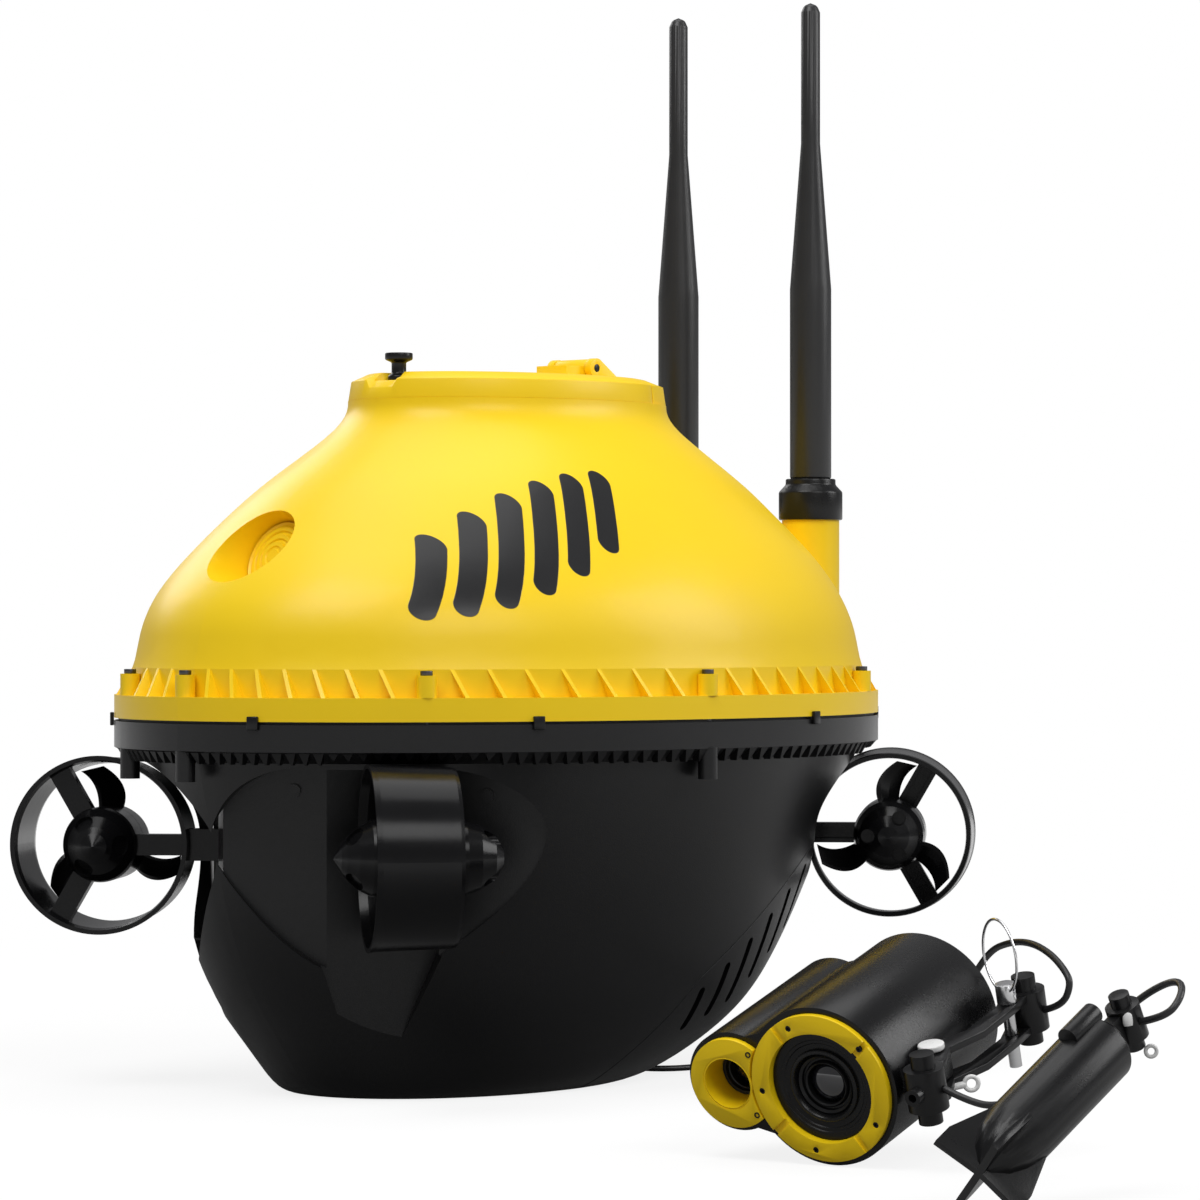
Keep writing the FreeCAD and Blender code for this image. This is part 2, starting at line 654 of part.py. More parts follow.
# Spring latch pin that drops into the deck rim, with a flanged head to pull it by
latch_drop = DIMENSIONS["latch_drop"]
knob_foot = DECK_TOP - 3.0 + 0.1
latch = turned("latch_pin", [
    (0, RIM - latch_drop), (S.latch_radius - 0.8, RIM - latch_drop), (S.latch_radius, RIM - latch_drop + 0.8),
    (S.latch_radius, knob_foot), (S.knob_radius - 0.9, knob_foot), (S.knob_radius - 0.9, knob_foot + 1.6),
    (S.knob_neck_radius, knob_foot + 2.6), (S.knob_neck_radius, knob_foot + 6.4),
    (S.knob_radius, knob_foot + 7.4), (S.knob_radius, knob_foot + 9.8), (0, knob_foot + 9.8),
], place(knob_x, 0, 0))
keep("latch_pin", latch)
latch_bore = Part.makeCylinder(DIMENSIONS["latch_radius"] + 0.7, 8.0, Vector(knob_x, 0, RIM - 5.5))
upper = parts["upper_shell"]
upper.Shape = upper.Shape.cut(latch_bore)

# Antennas on their collars
for hand, side in antenna_spots.items():
    spot = place(DIMENSIONS["antenna_x"], side * DIMENSIONS["antenna_y"], 0)
    low = S.boss_top
    high = S.boss_top + S.collar_height
    collar = turned("antenna_collar_" + hand, [
        (0, low), (S.collar_radius, low), (S.collar_radius, high - 5.0), (S.collar_radius - 2.6, high - 2.2),
        (S.collar_radius - 2.6, high), (0, high),
    ], spot)
    keep("antenna_collar_" + hand, collar)
    whip = turned("antenna_" + hand, [
        (0, high), (S.antenna_radius, high), (S.antenna_radius, S.antenna_taper_start),
        (S.antenna_tip_radius, S.antenna_taper_end), (S.antenna_tip_radius, S.antenna_top - S.antenna_tip_radius),
        (S.antenna_tip_radius * 0.7, S.antenna_top - S.antenna_tip_radius * 0.3), (0, S.antenna_top),
    ], spot)
    keep("antenna_" + hand, whip)

# Thrusters. Each is built along its own Z axis, nose up, and turned into place.
pod_back = S.duct_length * -0.07
pod_front = S.duct_length / 2 - 3.5


def blade_section(radius, chord, pitch, thick):
    """A flattened eight-cornered blade section at a radius from the axis."""
    corners = []
    for u, v in ((-1, 0), (-0.6, 0.8), (0.2, 1.0), (0.8, 0.5), (1, 0), (0.7, -0.4), (0, -0.6), (-0.7, -0.5)):
        x = u * chord / 2
        y = v * thick / 2
        across = x * math.cos(pitch) - y * math.sin(pitch)
        along = x * math.sin(pitch) + y * math.cos(pitch)
        corners.append(Vector(radius, across, along))
    return Part.makePolygon(corners + [corners[0]])


def thruster(name, fore, side):
    """One thruster: duct with struts and pod, nose cap, motor, shaft and propeller."""
    frame, nose, outward = thruster_frame(fore, side)
    half = S.duct_length / 2
    front = S.duct_radius_front
    rear = S.duct_radius_rear
    ring = turned(name + "_ring", [
        (rear - S.duct_wall, -half), (rear, -half), (rear + 0.3, -half + 1.2), (front - 0.4, half - 2.0),
        (front, half), (front - S.duct_wall, half), (front - S.duct_wall - 0.6, half - 3.0),
        (rear - S.duct_wall - 0.2, -half + 3.0),
    ])
    pod = turned(name + "_pod", [
        (S.shaft_radius + S.running_gap, pod_back), (S.hub_radius, pod_back), (S.hub_radius, pod_front),
        (S.hub_radius - S.pod_wall, pod_front), (S.hub_radius - S.pod_wall, pod_back + S.pod_wall),
        (S.shaft_radius + S.running_gap, pod_back + S.pod_wall),
    ])
    doc.recompute()
    pieces = [ring.Shape, pod.Shape]
    width = DIMENSIONS["strut_width"]
    depth = DIMENSIONS["strut_depth"]
    skin = DIMENSIONS["strut_wall"]
    start = DIMENSIONS["hub_radius"] - DIMENSIONS["pod_wall"] * 0.6
    duct_inside = DIMENSIONS["duct_radius_rear"] - DIMENSIONS["duct_wall"] * 0.1
    crown = float(pod_front) - 1.0
    for number in range(3):
        reach = duct_inside - start
        bar = Part.makeBox(reach, width, depth, Vector(start, -width / 2, crown - depth))
        groove = Part.makeBox(reach + 2.0, width - 2 * skin, depth - skin, Vector(start - 1.0, -width / 2 + skin, crown - depth))
        bar = bar.cut(groove)
        bar.rotate(Vector(), UP, 180.0 + 120.0 * number)
        pieces.append(bar)
    arm_from = DIMENSIONS["duct_radius_rear"] - 0.8
    arm_reach = frame.Base.dot(outward) - DIMENSIONS["channel_floor"] - arm_from
    arm = Part.makeBox(arm_reach, width * 1.5, depth * 1.6, Vector(-arm_from - arm_reach, -width * 0.75, crown - depth * 1.6))
    pieces.append(arm)
    casing = pieces[0].fuse(pieces[1:])
    keep(name + "_duct", solid(name + "_duct", casing, frame))

    cap_low = pod_front
    tip = pod_front + S.nose_length
    cap = turned(name + "_nose", [
        (0, cap_low), (S.hub_radius, cap_low), (S.hub_radius - 0.5, cap_low + 2.4), (S.hub_radius - 3.0, cap_low + 7.0),
        (S.hub_radius - 6.6, cap_low + 10.8), (S.hub_radius - 8.6, cap_low + 12.4), (0, tip),
    ])
    doc.recompute()
    sockets = []
    for number in range(3):
        socket = Part.makeCylinder(3.6, 12.0, Vector(7.6, 0, float(cap_low) + 7.4), Vector(0.75, 0, 0.66))
        socket.rotate(Vector(), UP, 60.0 + 120.0 * number)
        sockets.append(socket)
    keep(name + "_nose", solid(name + "_nose_cap", cap.Shape.cut(sockets), frame))

    motor_low = pod_back + S.pod_wall
    motor = turned(name + "_motor", [
        (S.shaft_radius + S.running_gap, motor_low), (S.motor_radius, motor_low), (S.motor_radius, cap_low),
        (0, cap_low), (0, cap_low - 2.0), (S.shaft_radius + S.running_gap, cap_low - 2.0),
    ], frame)
    keep(name + "_motor", motor)

    hub_high = pod_back - S.propeller_gap
    hub_low = -half - S.dome_length
    hub = turned(name + "_hub", [
        (S.shaft_radius, hub_high), (S.shaft_radius, hub_low + 8.0), (0, hub_low + 8.0), (0, hub_low),
        (S.hub_radius * 0.28, hub_low + 0.7), (S.hub_radius * 0.58, hub_low + 3.6), (S.hub_radius * 0.82, hub_low + 8.6),
        (S.hub_radius * 0.95, hub_low + 13.4), (S.hub_radius, -half + 1.0), (S.hub_radius, hub_high),
    ])
    doc.recompute()
    middle = (float(hub_high) - DIMENSIONS["duct_length"] / 2 + 1.0) / 2 - 0.4
    tip_radius = DIMENSIONS["duct_radius_rear"] - DIMENSIONS["duct_wall"] - 1.3
    root = DIMENSIONS["hub_radius"] - 2.5
    profiles = [blade_section(root, 10.5, math.radians(48), 2.4),
                blade_section((root + tip_radius) / 2, 11.0, math.radians(35), 1.7),
                blade_section(tip_radius, 8.5, math.radians(27), 1.1)]
    profiles[2].rotate(Vector(), UP, 14.0)
    blade = Part.makeLoft(profiles, True, False)
    blade.translate(Vector(0, 0, middle))
    blades = []
    for number in range(3):
        copy = blade.copy()
        copy.rotate(Vector(), UP, 30.0 + 120.0 * number)
        blades.append(copy)
    screw_wells = []
    for number in range(3):
        well = Part.makeCylinder(2.6, 20.0, Vector(7.6, 0, float(hub_low) + 8.5), Vector(0, 0, -1))
        well.rotate(Vector(), UP, 60.0 + 120.0 * number)
        screw_wells.append(well)
    propeller = hub.Shape.fuse(blades).cut(screw_wells)
    keep(name + "_propeller", solid(name + "_propeller", propeller, frame))

    axle = turned(name + "_shaft", [(0, hub_low + 8.0), (S.shaft_radius, hub_low + 8.0),
                                    (S.shaft_radius, cap_low - 2.4), (0, cap_low - 2.4)], frame)
    keep(name + "_shaft", axle)


for name, (fore, side) in THRUSTERS.items():
    thruster("thruster_" + name, fore, side)

# Inside: tray on two side plates that also carry the winch, battery, board
winch_x = DIMENSIONS["winch_x"]
drum_z = DIMENSIONS["drum_z"]
tray_z = DIMENSIONS["tray_z"]
plate_y = DIMENSIONS["drum_length"] / 2 + DIMENSIONS["flange_thick"] + 1.0
frame_thick = DIMENSIONS["frame_thick"]
sides = []
for side in (1, -1):
    near = plate_y if side > 0 else -plate_y - frame_thick
    outline_points = [(-26.0, wall), (64.0, wall), (48.0, 40.0), (58.0, tray_z), (-22.0, tray_z), (-14.0, 40.0)]
    corners = [Vector(x, near, z) for x, z in outline_points]
    sides.append(Part.Face(Part.makePolygon(corners + corners[:1])).extrude(Vector(0, frame_thick, 0)))
top_tray = Part.makeBox(136.0, 64.0, DIMENSIONS["tray_thick"], Vector(-72.0, -32.0, tray_z))
spindle_bore = Part.makeCylinder(DIMENSIONS["spindle_radius"] + DIMENSIONS["running_gap"], 200.0,
                                 Vector(winch_x, -100.0, drum_z), Vector(0, 1, 0))
motor_seat = Part.makeCylinder(DIMENSIONS["winch_motor_radius"], 60.0, Vector(winch_x, plate_y + 1.0, drum_z), Vector(0, 1, 0))
chassis = sides[0].fuse([sides[1], top_tray]).cut([spindle_bore, motor_seat])
keep("chassis_frame", solid("chassis_frame", chassis))
turn_y = Placement(Vector(winch_x, 0, drum_z), ALONG_Y)
half_drum = S.drum_length / 2
drum = turned("winch_drum", [
    (0, -half_drum - S.flange_thick), (S.drum_flange_radius, -half_drum - S.flange_thick),
    (S.drum_flange_radius, -half_drum), (S.drum_radius, -half_drum), (S.drum_radius, half_drum),
    (S.drum_flange_radius, half_drum), (S.drum_flange_radius, half_drum + S.flange_thick),
    (S.spindle_radius, half_drum + S.flange_thick), (S.spindle_radius, half_drum + S.flange_thick + 1.0 + S.frame_thick + 2.0),
    (0, half_drum + S.flange_thick + 1.0 + S.frame_thick + 2.0),
], turn_y)
keep("winch_drum", drum)
winding = turned("tether_winding", [(S.drum_radius, 0.2 - half_drum), (S.drum_flange_radius - 3.0, 0.2 - half_drum),
                                    (S.drum_flange_radius - 3.0, half_drum - 0.2), (S.drum_radius, half_drum - 0.2)], turn_y)
keep("tether_winding", winding)
motor_from = half_drum + S.flange_thick + 2.0
winch_motor = turned("winch_motor", [
    (S.spindle_radius + S.running_gap, motor_from), (S.winch_motor_radius, motor_from), (S.winch_motor_radius, motor_from + 26.0),
    (0, motor_from + 26.0), (0, motor_from + 8.0), (S.spindle_radius + S.running_gap, motor_from + 8.0),
], turn_y)
keep("winch_motor", winch_motor)
battery = block("battery_pack", S.battery_length, S.battery_width, S.battery_height,
                place(-24.0, -DIMENSIONS["battery_width"] / 2, tray_z + DIMENSIONS["tray_thick"]))
keep("battery_pack", battery)
board_z = tray_z + DIMENSIONS["tray_thick"]
board = [Part.makeBox(40.0, 56.0, 1.6, Vector(-70.0, -28.0, board_z + 5.0))]
for x in (-67.0, -33.0):
    for y in (-25.0, 25.0):
        board.append(Part.makeCylinder(2.2, 5.2, Vector(x, y, board_z)))
board.append(Part.makeBox(14.0, 14.0, 2.4, Vector(-56.0, -7.0, board_z + 6.6)))
board.append(Part.makeBox(9.0, 16.0, 6.0, Vector(-68.0, -8.0, board_z + 6.6)))
board.append(Part.makeBox(7.0, 10.0, 8.0, Vector(-40.0, 12.0, board_z + 6.6)))
keep("control_board", solid("control_board", board[0].fuse(board[1:])))
gland_shape = Part.makeCylinder(gland_radius, gland_length, gland_at - gland_way * gland_length, gland_way)
keep("tether_gland", solid("tether_gland", gland_shape))

# Camera unit, built with its own Z along the optical axis and its own X towards the light
camera_axis = Vector(0.944, 0.172, -0.283).normalize()
camera_side = Vector(camera_axis.y, -camera_axis.x, 0).normalize()
camera_turn = Rotation(camera_side, camera_axis.cross(camera_side), camera_axis, "ZXY")
camera_drop = DIMENSIONS["barrel_radius"] * math.sqrt(1 - camera_axis.z ** 2)
camera_at = Placement(Vector(DIMENSIONS["camera_x"], DIMENSIONS["camera_y"], camera_drop), camera_turn)
big = DIMENSIONS["barrel_radius"]
small = DIMENSIONS["lobe_radius"]
offset = DIMENSIONS["lobe_offset"]
depth = DIMENSIONS["barrel_length"]
blend = math.acos((big - small) / offset)
edge_up = [Vector(big * math.cos(blend), big * math.sin(blend), 0), Vector(offset + small * math.cos(blend), small * math.sin(blend), 0)]
web_points = [edge_up[0], edge_up[1], Vector(edge_up[1].x, -edge_up[1].y, 0), Vector(edge_up[0].x, -edge_up[0].y, 0)]
waist = 0.80


def barrel_form(grow, low, high):
    """The rounded two-lobed outline of the camera housing between two depths."""
    height = high - low
    main = Part.makeCylinder(big + grow, height, Vector(0, 0, low))
    lobe = Part.makeCylinder(small + grow, height, Vector(offset, 0, low))
    points = [Vector(p.x, p.y * waist if index in (1, 2) else p.y * waist, low) for index, p in enumerate(web_points)]
    bridge = Part.Face(Part.makePolygon(points + points[:1])).extrude(Vector(0, 0, height))
    return main.fuse([lobe, bridge])


housing = barrel_form(0.0, -depth, 0.0)
main_bore = Part.makeCylinder(big - DIMENSIONS["barrel_wall"], depth - 8.0, Vector(0, 0, -depth + 8.0))
lobe_bore = Part.makeCylinder(small - DIMENSIONS["barrel_wall"], 30.0, Vector(offset, 0, -30.0))
lug = Part.makeBox(9.0, 7.0, 12.0, Vector(-big - 6.5, -3.5, -24.0))
lug_bore = Part.makeCylinder(DIMENSIONS["pin_radius"] + DIMENSIONS["running_gap"], 40.0, Vector(-big - 3.5, -20.0, -18.0), Vector(0, 1, 0))
housing = housing.cut([main_bore, lobe_bore]).fuse(lug).cut(lug_bore)
keep("camera_housing", solid("camera_housing", housing, camera_at))

bezel_thick = DIMENSIONS["bezel_thick"]
bezel = Part.makeCylinder(DIMENSIONS["bezel_radius"] - 0.6, 3.0, Vector(0, 0, -3.0))
bezel = bezel.fuse(Part.makeCylinder(DIMENSIONS["bezel_radius"], bezel_thick, Vector(0, 0, 0)))
bezel_cuts = [Part.makeCylinder(DIMENSIONS["bezel_bore"], 20.0, Vector(0, 0, -10.0))]
for angle in (40.0, 125.0, 220.0, 305.0):
    cut = Part.makeBox(9.0, 2.0, 1.2, Vector(DIMENSIONS["bezel_bore"] - 1.0, -1.0, bezel_thick - 0.8))
    cut.rotate(Vector(), UP, angle)
    bezel_cuts.append(cut)
for number in range(5):
    hole = Part.makeCylinder(1.0, 4.0, Vector((DIMENSIONS["bezel_bore"] + DIMENSIONS["bezel_radius"]) / 2, 0, bezel_thick - 1.4))
    hole.rotate(Vector(), UP, 5.0 + 72.0 * number)
    bezel_cuts.append(hole)
keep("camera_bezel", solid("camera_bezel", bezel.cut(bezel_cuts), camera_at))
window = turned("camera_window", [(0, -2.6), (S.bezel_bore, -2.6), (S.bezel_bore, -0.6), (0, -0.6)], camera_at)
keep("camera_window", window)
lens = turned("camera_lens", [(0, -14.0), (S.lens_radius, -14.0), (S.lens_radius, -4.0), (S.lens_radius - 2.0, -4.0),
                              (S.lens_radius - 3.2, -5.6), (S.lens_radius * 0.4, -4.2), (0, -4.0)], camera_at)
keep("camera_lens", lens)
carrier = turned("camera_carrier", [(S.lens_radius, -22.0), (S.barrel_radius - S.barrel_wall, -22.0),
                                    (S.barrel_radius - S.barrel_wall, -20.0), (S.lens_radius + 1.6, -20.0),
                                    (S.lens_radius + 1.6, -4.6), (S.lens_radius, -4.6)], camera_at)
keep("camera_carrier", carrier)
light_ring = Part.makeCylinder(small - DIMENSIONS["barrel_wall"], 3.0, Vector(offset, 0, -3.0))
light_face = Part.makeCylinder(small - 1.6, bezel_thick, Vector(offset, 0, 0))
tongue = Part.makeBox(14.0, 22.0, bezel_thick, Vector(offset - 14.0, -11.0, 0))
keep_out = Part.makeCylinder(DIMENSIONS["bezel_radius"] + 0.8, 12.0, Vector(0, 0, -5.0))
light_hole = Part.makeCylinder(DIMENSIONS["light_bore"], 20.0, Vector(offset + 1.5, 0, -10.0))
light_bezel = light_face.fuse([tongue, light_ring]).cut([keep_out, light_hole])
keep("light_bezel", solid("light_bezel", light_bezel, camera_at))
lamp = Part.makeCylinder(DIMENSIONS["light_bore"] - 0.6, 6.0, Vector(offset + 1.5, 0, -14.0))
lamp = lamp.fuse(Part.makeCylinder(small - DIMENSIONS["barrel_wall"], 2.0, Vector(offset, 0, -16.0)))
keep("light_lens", solid("light_lens", lamp, camera_at))

# Bracket at the camera's side: two flat arms, a block at each end and two quick-release pins
side_x = -big - 3.5
block_x = -big - 8.0
front_z = -4.0
rear_z = -depth - 5.0
arm_thick = DIMENSIONS["arm_thick"]
arm_y = DIMENSIONS["arm_gap"] / 2 + 1.0
arms = []
for hand in (1, -1):
    low = arm_y if hand > 0 else -arm_y - arm_thick
    path = [(block_x - 3.0, front_z), (block_x + 3.0, front_z - 5.0), (side_x + 3.6, -14.0), (side_x + 3.6, -23.0),
            (block_x + 2.0, -36.0), (block_x + 2.0, -56.0), (block_x + 5.0, rear_z + 6.0), (block_x + 3.0, rear_z),
            (block_x - 3.0, rear_z), (block_x - 4.0, -56.0), (block_x - 4.0, -36.0), (side_x - 4.0, -22.0), (block_x - 3.4, -12.0)]
    corners = [Vector(x, low, z) for x, z in path]
    arms.append(Part.Face(Part.makePolygon(corners + corners[:1])).extrude(Vector(0, arm_thick, 0)))
arm_holes = [Part.makeCylinder(DIMENSIONS["pin_radius"], 60.0, Vector(side_x, -30.0, -18.0), Vector(0, 1, 0)),
             Part.makeCylinder(DIMENSIONS["pin_radius"], 60.0, Vector(block_x, -30.0, rear_z + 12.0), Vector(0, 1, 0))]
block_height = DIMENSIONS["block_height"]
blocks = []
for node, z in (("front_line_block", front_z), ("rear_tether_block", rear_z)):
    body_shape = Part.makeCylinder(DIMENSIONS["block_radius"], block_height, Vector(block_x, -block_height / 2, z), Vector(0, 1, 0))
    screw = Part.makeCylinder(DIMENSIONS["block_radius"] * 0.6, block_height + 9.0, Vector(block_x, -block_height / 2 - 4.5, z), Vector(0, 1, 0))
    body_shape = body_shape.fuse(screw)
    if node == "front_line_block":
        eye = Part.makeCylinder(2.6, 9.0, Vector(block_x, 0, z), Vector(0, 0, 1))
        hole = Part.makeCylinder(1.3, 4.0, Vector(block_x, 0, z + 5.2), Vector(0, 0, 1))
        body_shape = body_shape.fuse(eye).cut(hole)
    blocks.append(body_shape)
    keep(node, solid(node, body_shape, camera_at))
arm_pair = arms[0].fuse(arms[1]).cut(arm_holes + blocks)
keep("camera_bracket", solid("camera_bracket", arm_pair, camera_at))
reach = arm_y + arm_thick
button = Part.makeCylinder(DIMENSIONS["pin_radius"] - DIMENSIONS["running_gap"], 2 * reach + 5.0, Vector(side_x, -reach - 2.0, -18.0), Vector(0, 1, 0))
button = button.fuse(Part.makeCylinder(4.1, 2.0, Vector(side_x, -reach - 2.3, -18.0), Vector(0, 1, 0)))
keep("button_pin", solid("button_pin", button, camera_at))
ring_z = rear_z + 12.0
ring_pin = Part.makeCylinder(DIMENSIONS["pin_radius"] - DIMENSIONS["running_gap"], 2 * reach + 12.0, Vector(block_x, -reach - 4.0, ring_z), Vector(0, 1, 0))
ring_pin = ring_pin.fuse(Part.makeCylinder(3.1, 6.0, Vector(block_x, -reach - 6.3, ring_z), Vector(0, 1, 0)))
ring_pin = ring_pin.cut(Part.makeCylinder(0.9, 20.0, Vector(block_x - 10.0, -reach - 4.2, ring_z), Vector(1, 0, 0)))
keep("release_pin", solid("release_pin", ring_pin, camera_at))
pull = Part.makeTorus(DIMENSIONS["pull_ring_radius"], 0.55, Vector(block_x, -reach - 4.2 - DIMENSIONS["pull_ring_radius"], ring_z), Vector(0, 0, 1))
keep("pull_ring", solid("pull_ring", pull, camera_at))

# Sinker with an ogive nose, four fins and a line block at its rear
sinker_axis = Vector(-0.879, -0.015, 0.476).normalize()
sinker_side = Vector(sinker_axis.y, -sinker_axis.x, 0).normalize()
sinker_down = sinker_axis.cross(sinker_side)
fin_foot = 3.0
fin_half = DIMENSIONS["fin_thick"] / 2
sinker_lift = (DIMENSIONS["fin_span"] + fin_half) * math.sqrt(0.5) * -sinker_down.z + fin_foot * sinker_axis.z + 0.1
sinker_at = Placement(Vector(DIMENSIONS["sinker_x"], DIMENSIONS["sinker_y"], sinker_lift),
                      Rotation(sinker_side, sinker_down, sinker_axis, "ZXY"))
long = S.sinker_length
weight = turned("sinker_weight", [
    (0, 0), (S.sinker_radius * 0.25, 0.8), (S.sinker_radius * 0.62, 5.0), (S.sinker_radius * 0.87, 11.0),
    (S.sinker_radius, 19.0), (S.sinker_radius, long - 2.0), (S.sinker_radius - 1.6, long), (0, long),
])
doc.recompute()
fins = []
for number in range(4):
    fin = Part.makePolygon([Vector(0, 0, -1.5), Vector(DIMENSIONS["fin_span"], 0, -fin_foot), Vector(DIMENSIONS["fin_span"], 0, 4.0),
                            Vector(DIMENSIONS["sinker_radius"] - 1.0, 0, DIMENSIONS["fin_length"]), Vector(0, 0, DIMENSIONS["fin_length"]), Vector(0, 0, -1.5)])
    fin = Part.Face(fin).extrude(Vector(0, DIMENSIONS["fin_thick"], 0))
    fin.translate(Vector(0, -DIMENSIONS["fin_thick"] / 2, 0))
    fin.rotate(Vector(), UP, 45.0 + 90.0 * number)
    fins.append(fin)
raised = Part.makeCylinder(3.2, 14.0, Vector(0, -DIMENSIONS["sinker_radius"] - 0.4, float(long) - 14.0), UP)
tail = Part.makeBox(4.0, 9.0, 10.0, Vector(-2.0, -4.5, float(long) - 1.0))
keep("sinker_weight", solid("sinker", weight.Shape.fuse(fins + [raised, tail]), sinker_at))
end_z = float(long) + 13.0
sinker_block = Part.makeCylinder(DIMENSIONS["block_radius"] * 0.82, 11.0, Vector(0, -5.5, end_z), Vector(0, 1, 0))
sinker_block = sinker_block.fuse(Part.makeCylinder(DIMENSIONS["block_radius"] * 0.5, 18.0, Vector(0, -9.0, end_z), Vector(0, 1, 0)))
tail_slot = Part.makeBox(4.1, 9.1, 10.1, Vector(-2.05, -4.55, float(long) - 1.0))
keep("sinker_line_block", solid("sinker_line_block", sinker_block.cut(tail_slot), sinker_at))


def cord(node, radius, points):
    """A cord as straight runs joined by tangent arcs, swept with a round section."""
    edges = []
    radii = []
    last = points[0]
    for index in range(1, len(points) - 1):
        before = points[index - 1]
        here = points[index]
        after = points[index + 1]
        run_in = here - before
        run_out = after - here
        turn = run_in.getAngle(run_out)
        shorter = min(run_in.Length, run_out.Length)
        bend = 0.45 * shorter / math.tan(turn / 2)
        radii.append(round(bend, 1))
        back = Vector(run_in).normalize() * (0.45 * shorter)
        ahead = Vector(run_out).normalize() * (0.45 * shorter)
        first = here - back
        final = here + ahead
        toward = (ahead - back).normalize()
        middle = here + toward * (bend / math.cos(turn / 2) - bend)
        edges.append(Part.makeLine(last, first))
        edges.append(Part.Arc(first, middle, final).toShape())
        last = final
    edges.append(Part.makeLine(last, points[-1]))
    path = Part.Wire(edges)
    start = (points[1] - points[0]).normalize()
    ring = Part.Wire([Part.makeCircle(radius, points[0], start)])
    tube = path.makePipeShell([ring], True, False, 2)
    expected = math.pi * radius ** 2 * path.Length
    print(node, "length", round(path.Length, 1), "volume share", round(tube.Volume / expected, 4), "radii", radii)
    keep(node, solid(node, tube))


def local(frame, x, y, z):
    """A point of a turned frame in the row's frame."""
    return frame.multVec(Vector(x, y, z))


exit_at = gland_at
rear_entry = local(camera_at, block_x - DIMENSIONS["block_radius"] + 0.3, 0.0, rear_z)
front_exit = local(camera_at, block_x - DIMENSIONS["block_radius"] + 0.3, 0.0, front_z)
sinker_entry = local(sinker_at, DIMENSIONS["block_radius"] * 0.82 - 0.3, 0.0, end_z)

# Tether: from the gland along the ground behind the camera, up and over into the rear block
TETHER_ROUTE = [(-42.3, 25.1, 2.1), (-50.0, 29.0, 1.5), (-60.0, 31.5, 1.2), (-74.0, 32.0, 1.2), (-88.0, 38.0, 1.2),
                (-96.0, 54.0, 1.2), (-95.0, 75.0, 1.2), (-84.0, 98.0, 1.2), (-66.0, 119.0, 1.2), (-44.0, 138.0, 1.4),
                (-23.0, 160.0, 3.5), (-5.0, 184.0, 12.0), (10.0, 207.0, 26.0), (22.0, 228.0, 43.0),
                (33.0, 247.0, 59.0), (44.0, 265.0, 69.0), (54.0, 281.0, 72.0), (61.0, 294.0, 69.0),
                (65.5, 303.0, 62.0), (67.0, 306.5, 53.5), (66.0, 302.5, 46.5)]


def seat_cord(node, radius, end, before):
    """Sink a fitting's cord hole to where the cord ends."""
    thing = parts[node]
    frame = Placement(thing.Placement)
    back = frame.inverse()
    tip = back.multVec(end)
    inward = (tip - back.multVec(before)).normalize()
    hole = Part.makeCylinder(radius + DIMENSIONS["cord_clearance"], 6.0, tip - inward * 6.0, inward)
    bare = thing.Shape.copy()
    bare.Placement = Placement()
    thing.Shape = bare.cut(hole)
    thing.Placement = frame


cord("tether", DIMENSIONS["tether_radius"], [exit_at] + [Vector(*spot) for spot in TETHER_ROUTE] + [rear_entry])

# Sinker line: from the front block past the sinker, with a loop back into its block
LINE_ROUTE = [(127.6, 312.5, 23.0), (126.5, 323.0, 21.0), (123.5, 334.0, 25.5), (119.0, 344.0, 34.5),
              (114.0, 354.0, 45.0), (109.5, 365.0, 55.0), (106.5, 376.0, 61.5), (108.0, 386.5, 62.5),
              (114.5, 391.5, 57.5), (120.5, 387.5, 51.5)]
cord("sinker_line", DIMENSIONS["line_radius"], [front_exit] + [Vector(*spot) for spot in LINE_ROUTE] + [sinker_entry])

seat_cord("rear_tether_block", DIMENSIONS["tether_radius"], rear_entry, Vector(*TETHER_ROUTE[-1]))
seat_cord("front_line_block", DIMENSIONS["line_radius"], front_exit, Vector(*LINE_ROUTE[0]))
seat_cord("sinker_line_block", DIMENSIONS["line_radius"], sinker_entry, Vector(*LINE_ROUTE[-1]))

# Check every object, then write one file per sub-part
doc.recompute()
for item in doc.Objects:
    if "Invalid" in item.State or "Error" in item.State:
        raise RuntimeError("%s failed: %s" % (item.Label, item.State))
os.makedirs("parts", exist_ok=True)
for node, thing in parts.items():
    shape = thing.Shape
    if shape.isNull() or not shape.isValid() or not shape.Solids:
        raise RuntimeError("bad shape: " + node)
    shape.exportStep("parts/%s.step" % node)
    print(node, round(shape.Volume), len(shape.Solids), len(shape.Faces))
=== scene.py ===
"""Looks for an inspection boat with a tethered underwater camera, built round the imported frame."""

import json
import logging
import math
from dataclasses import dataclass, field
from enum import Enum
from functools import cached_property
from typing import Iterable, Sequence

import bpy
from mathutils import Matrix, Vector

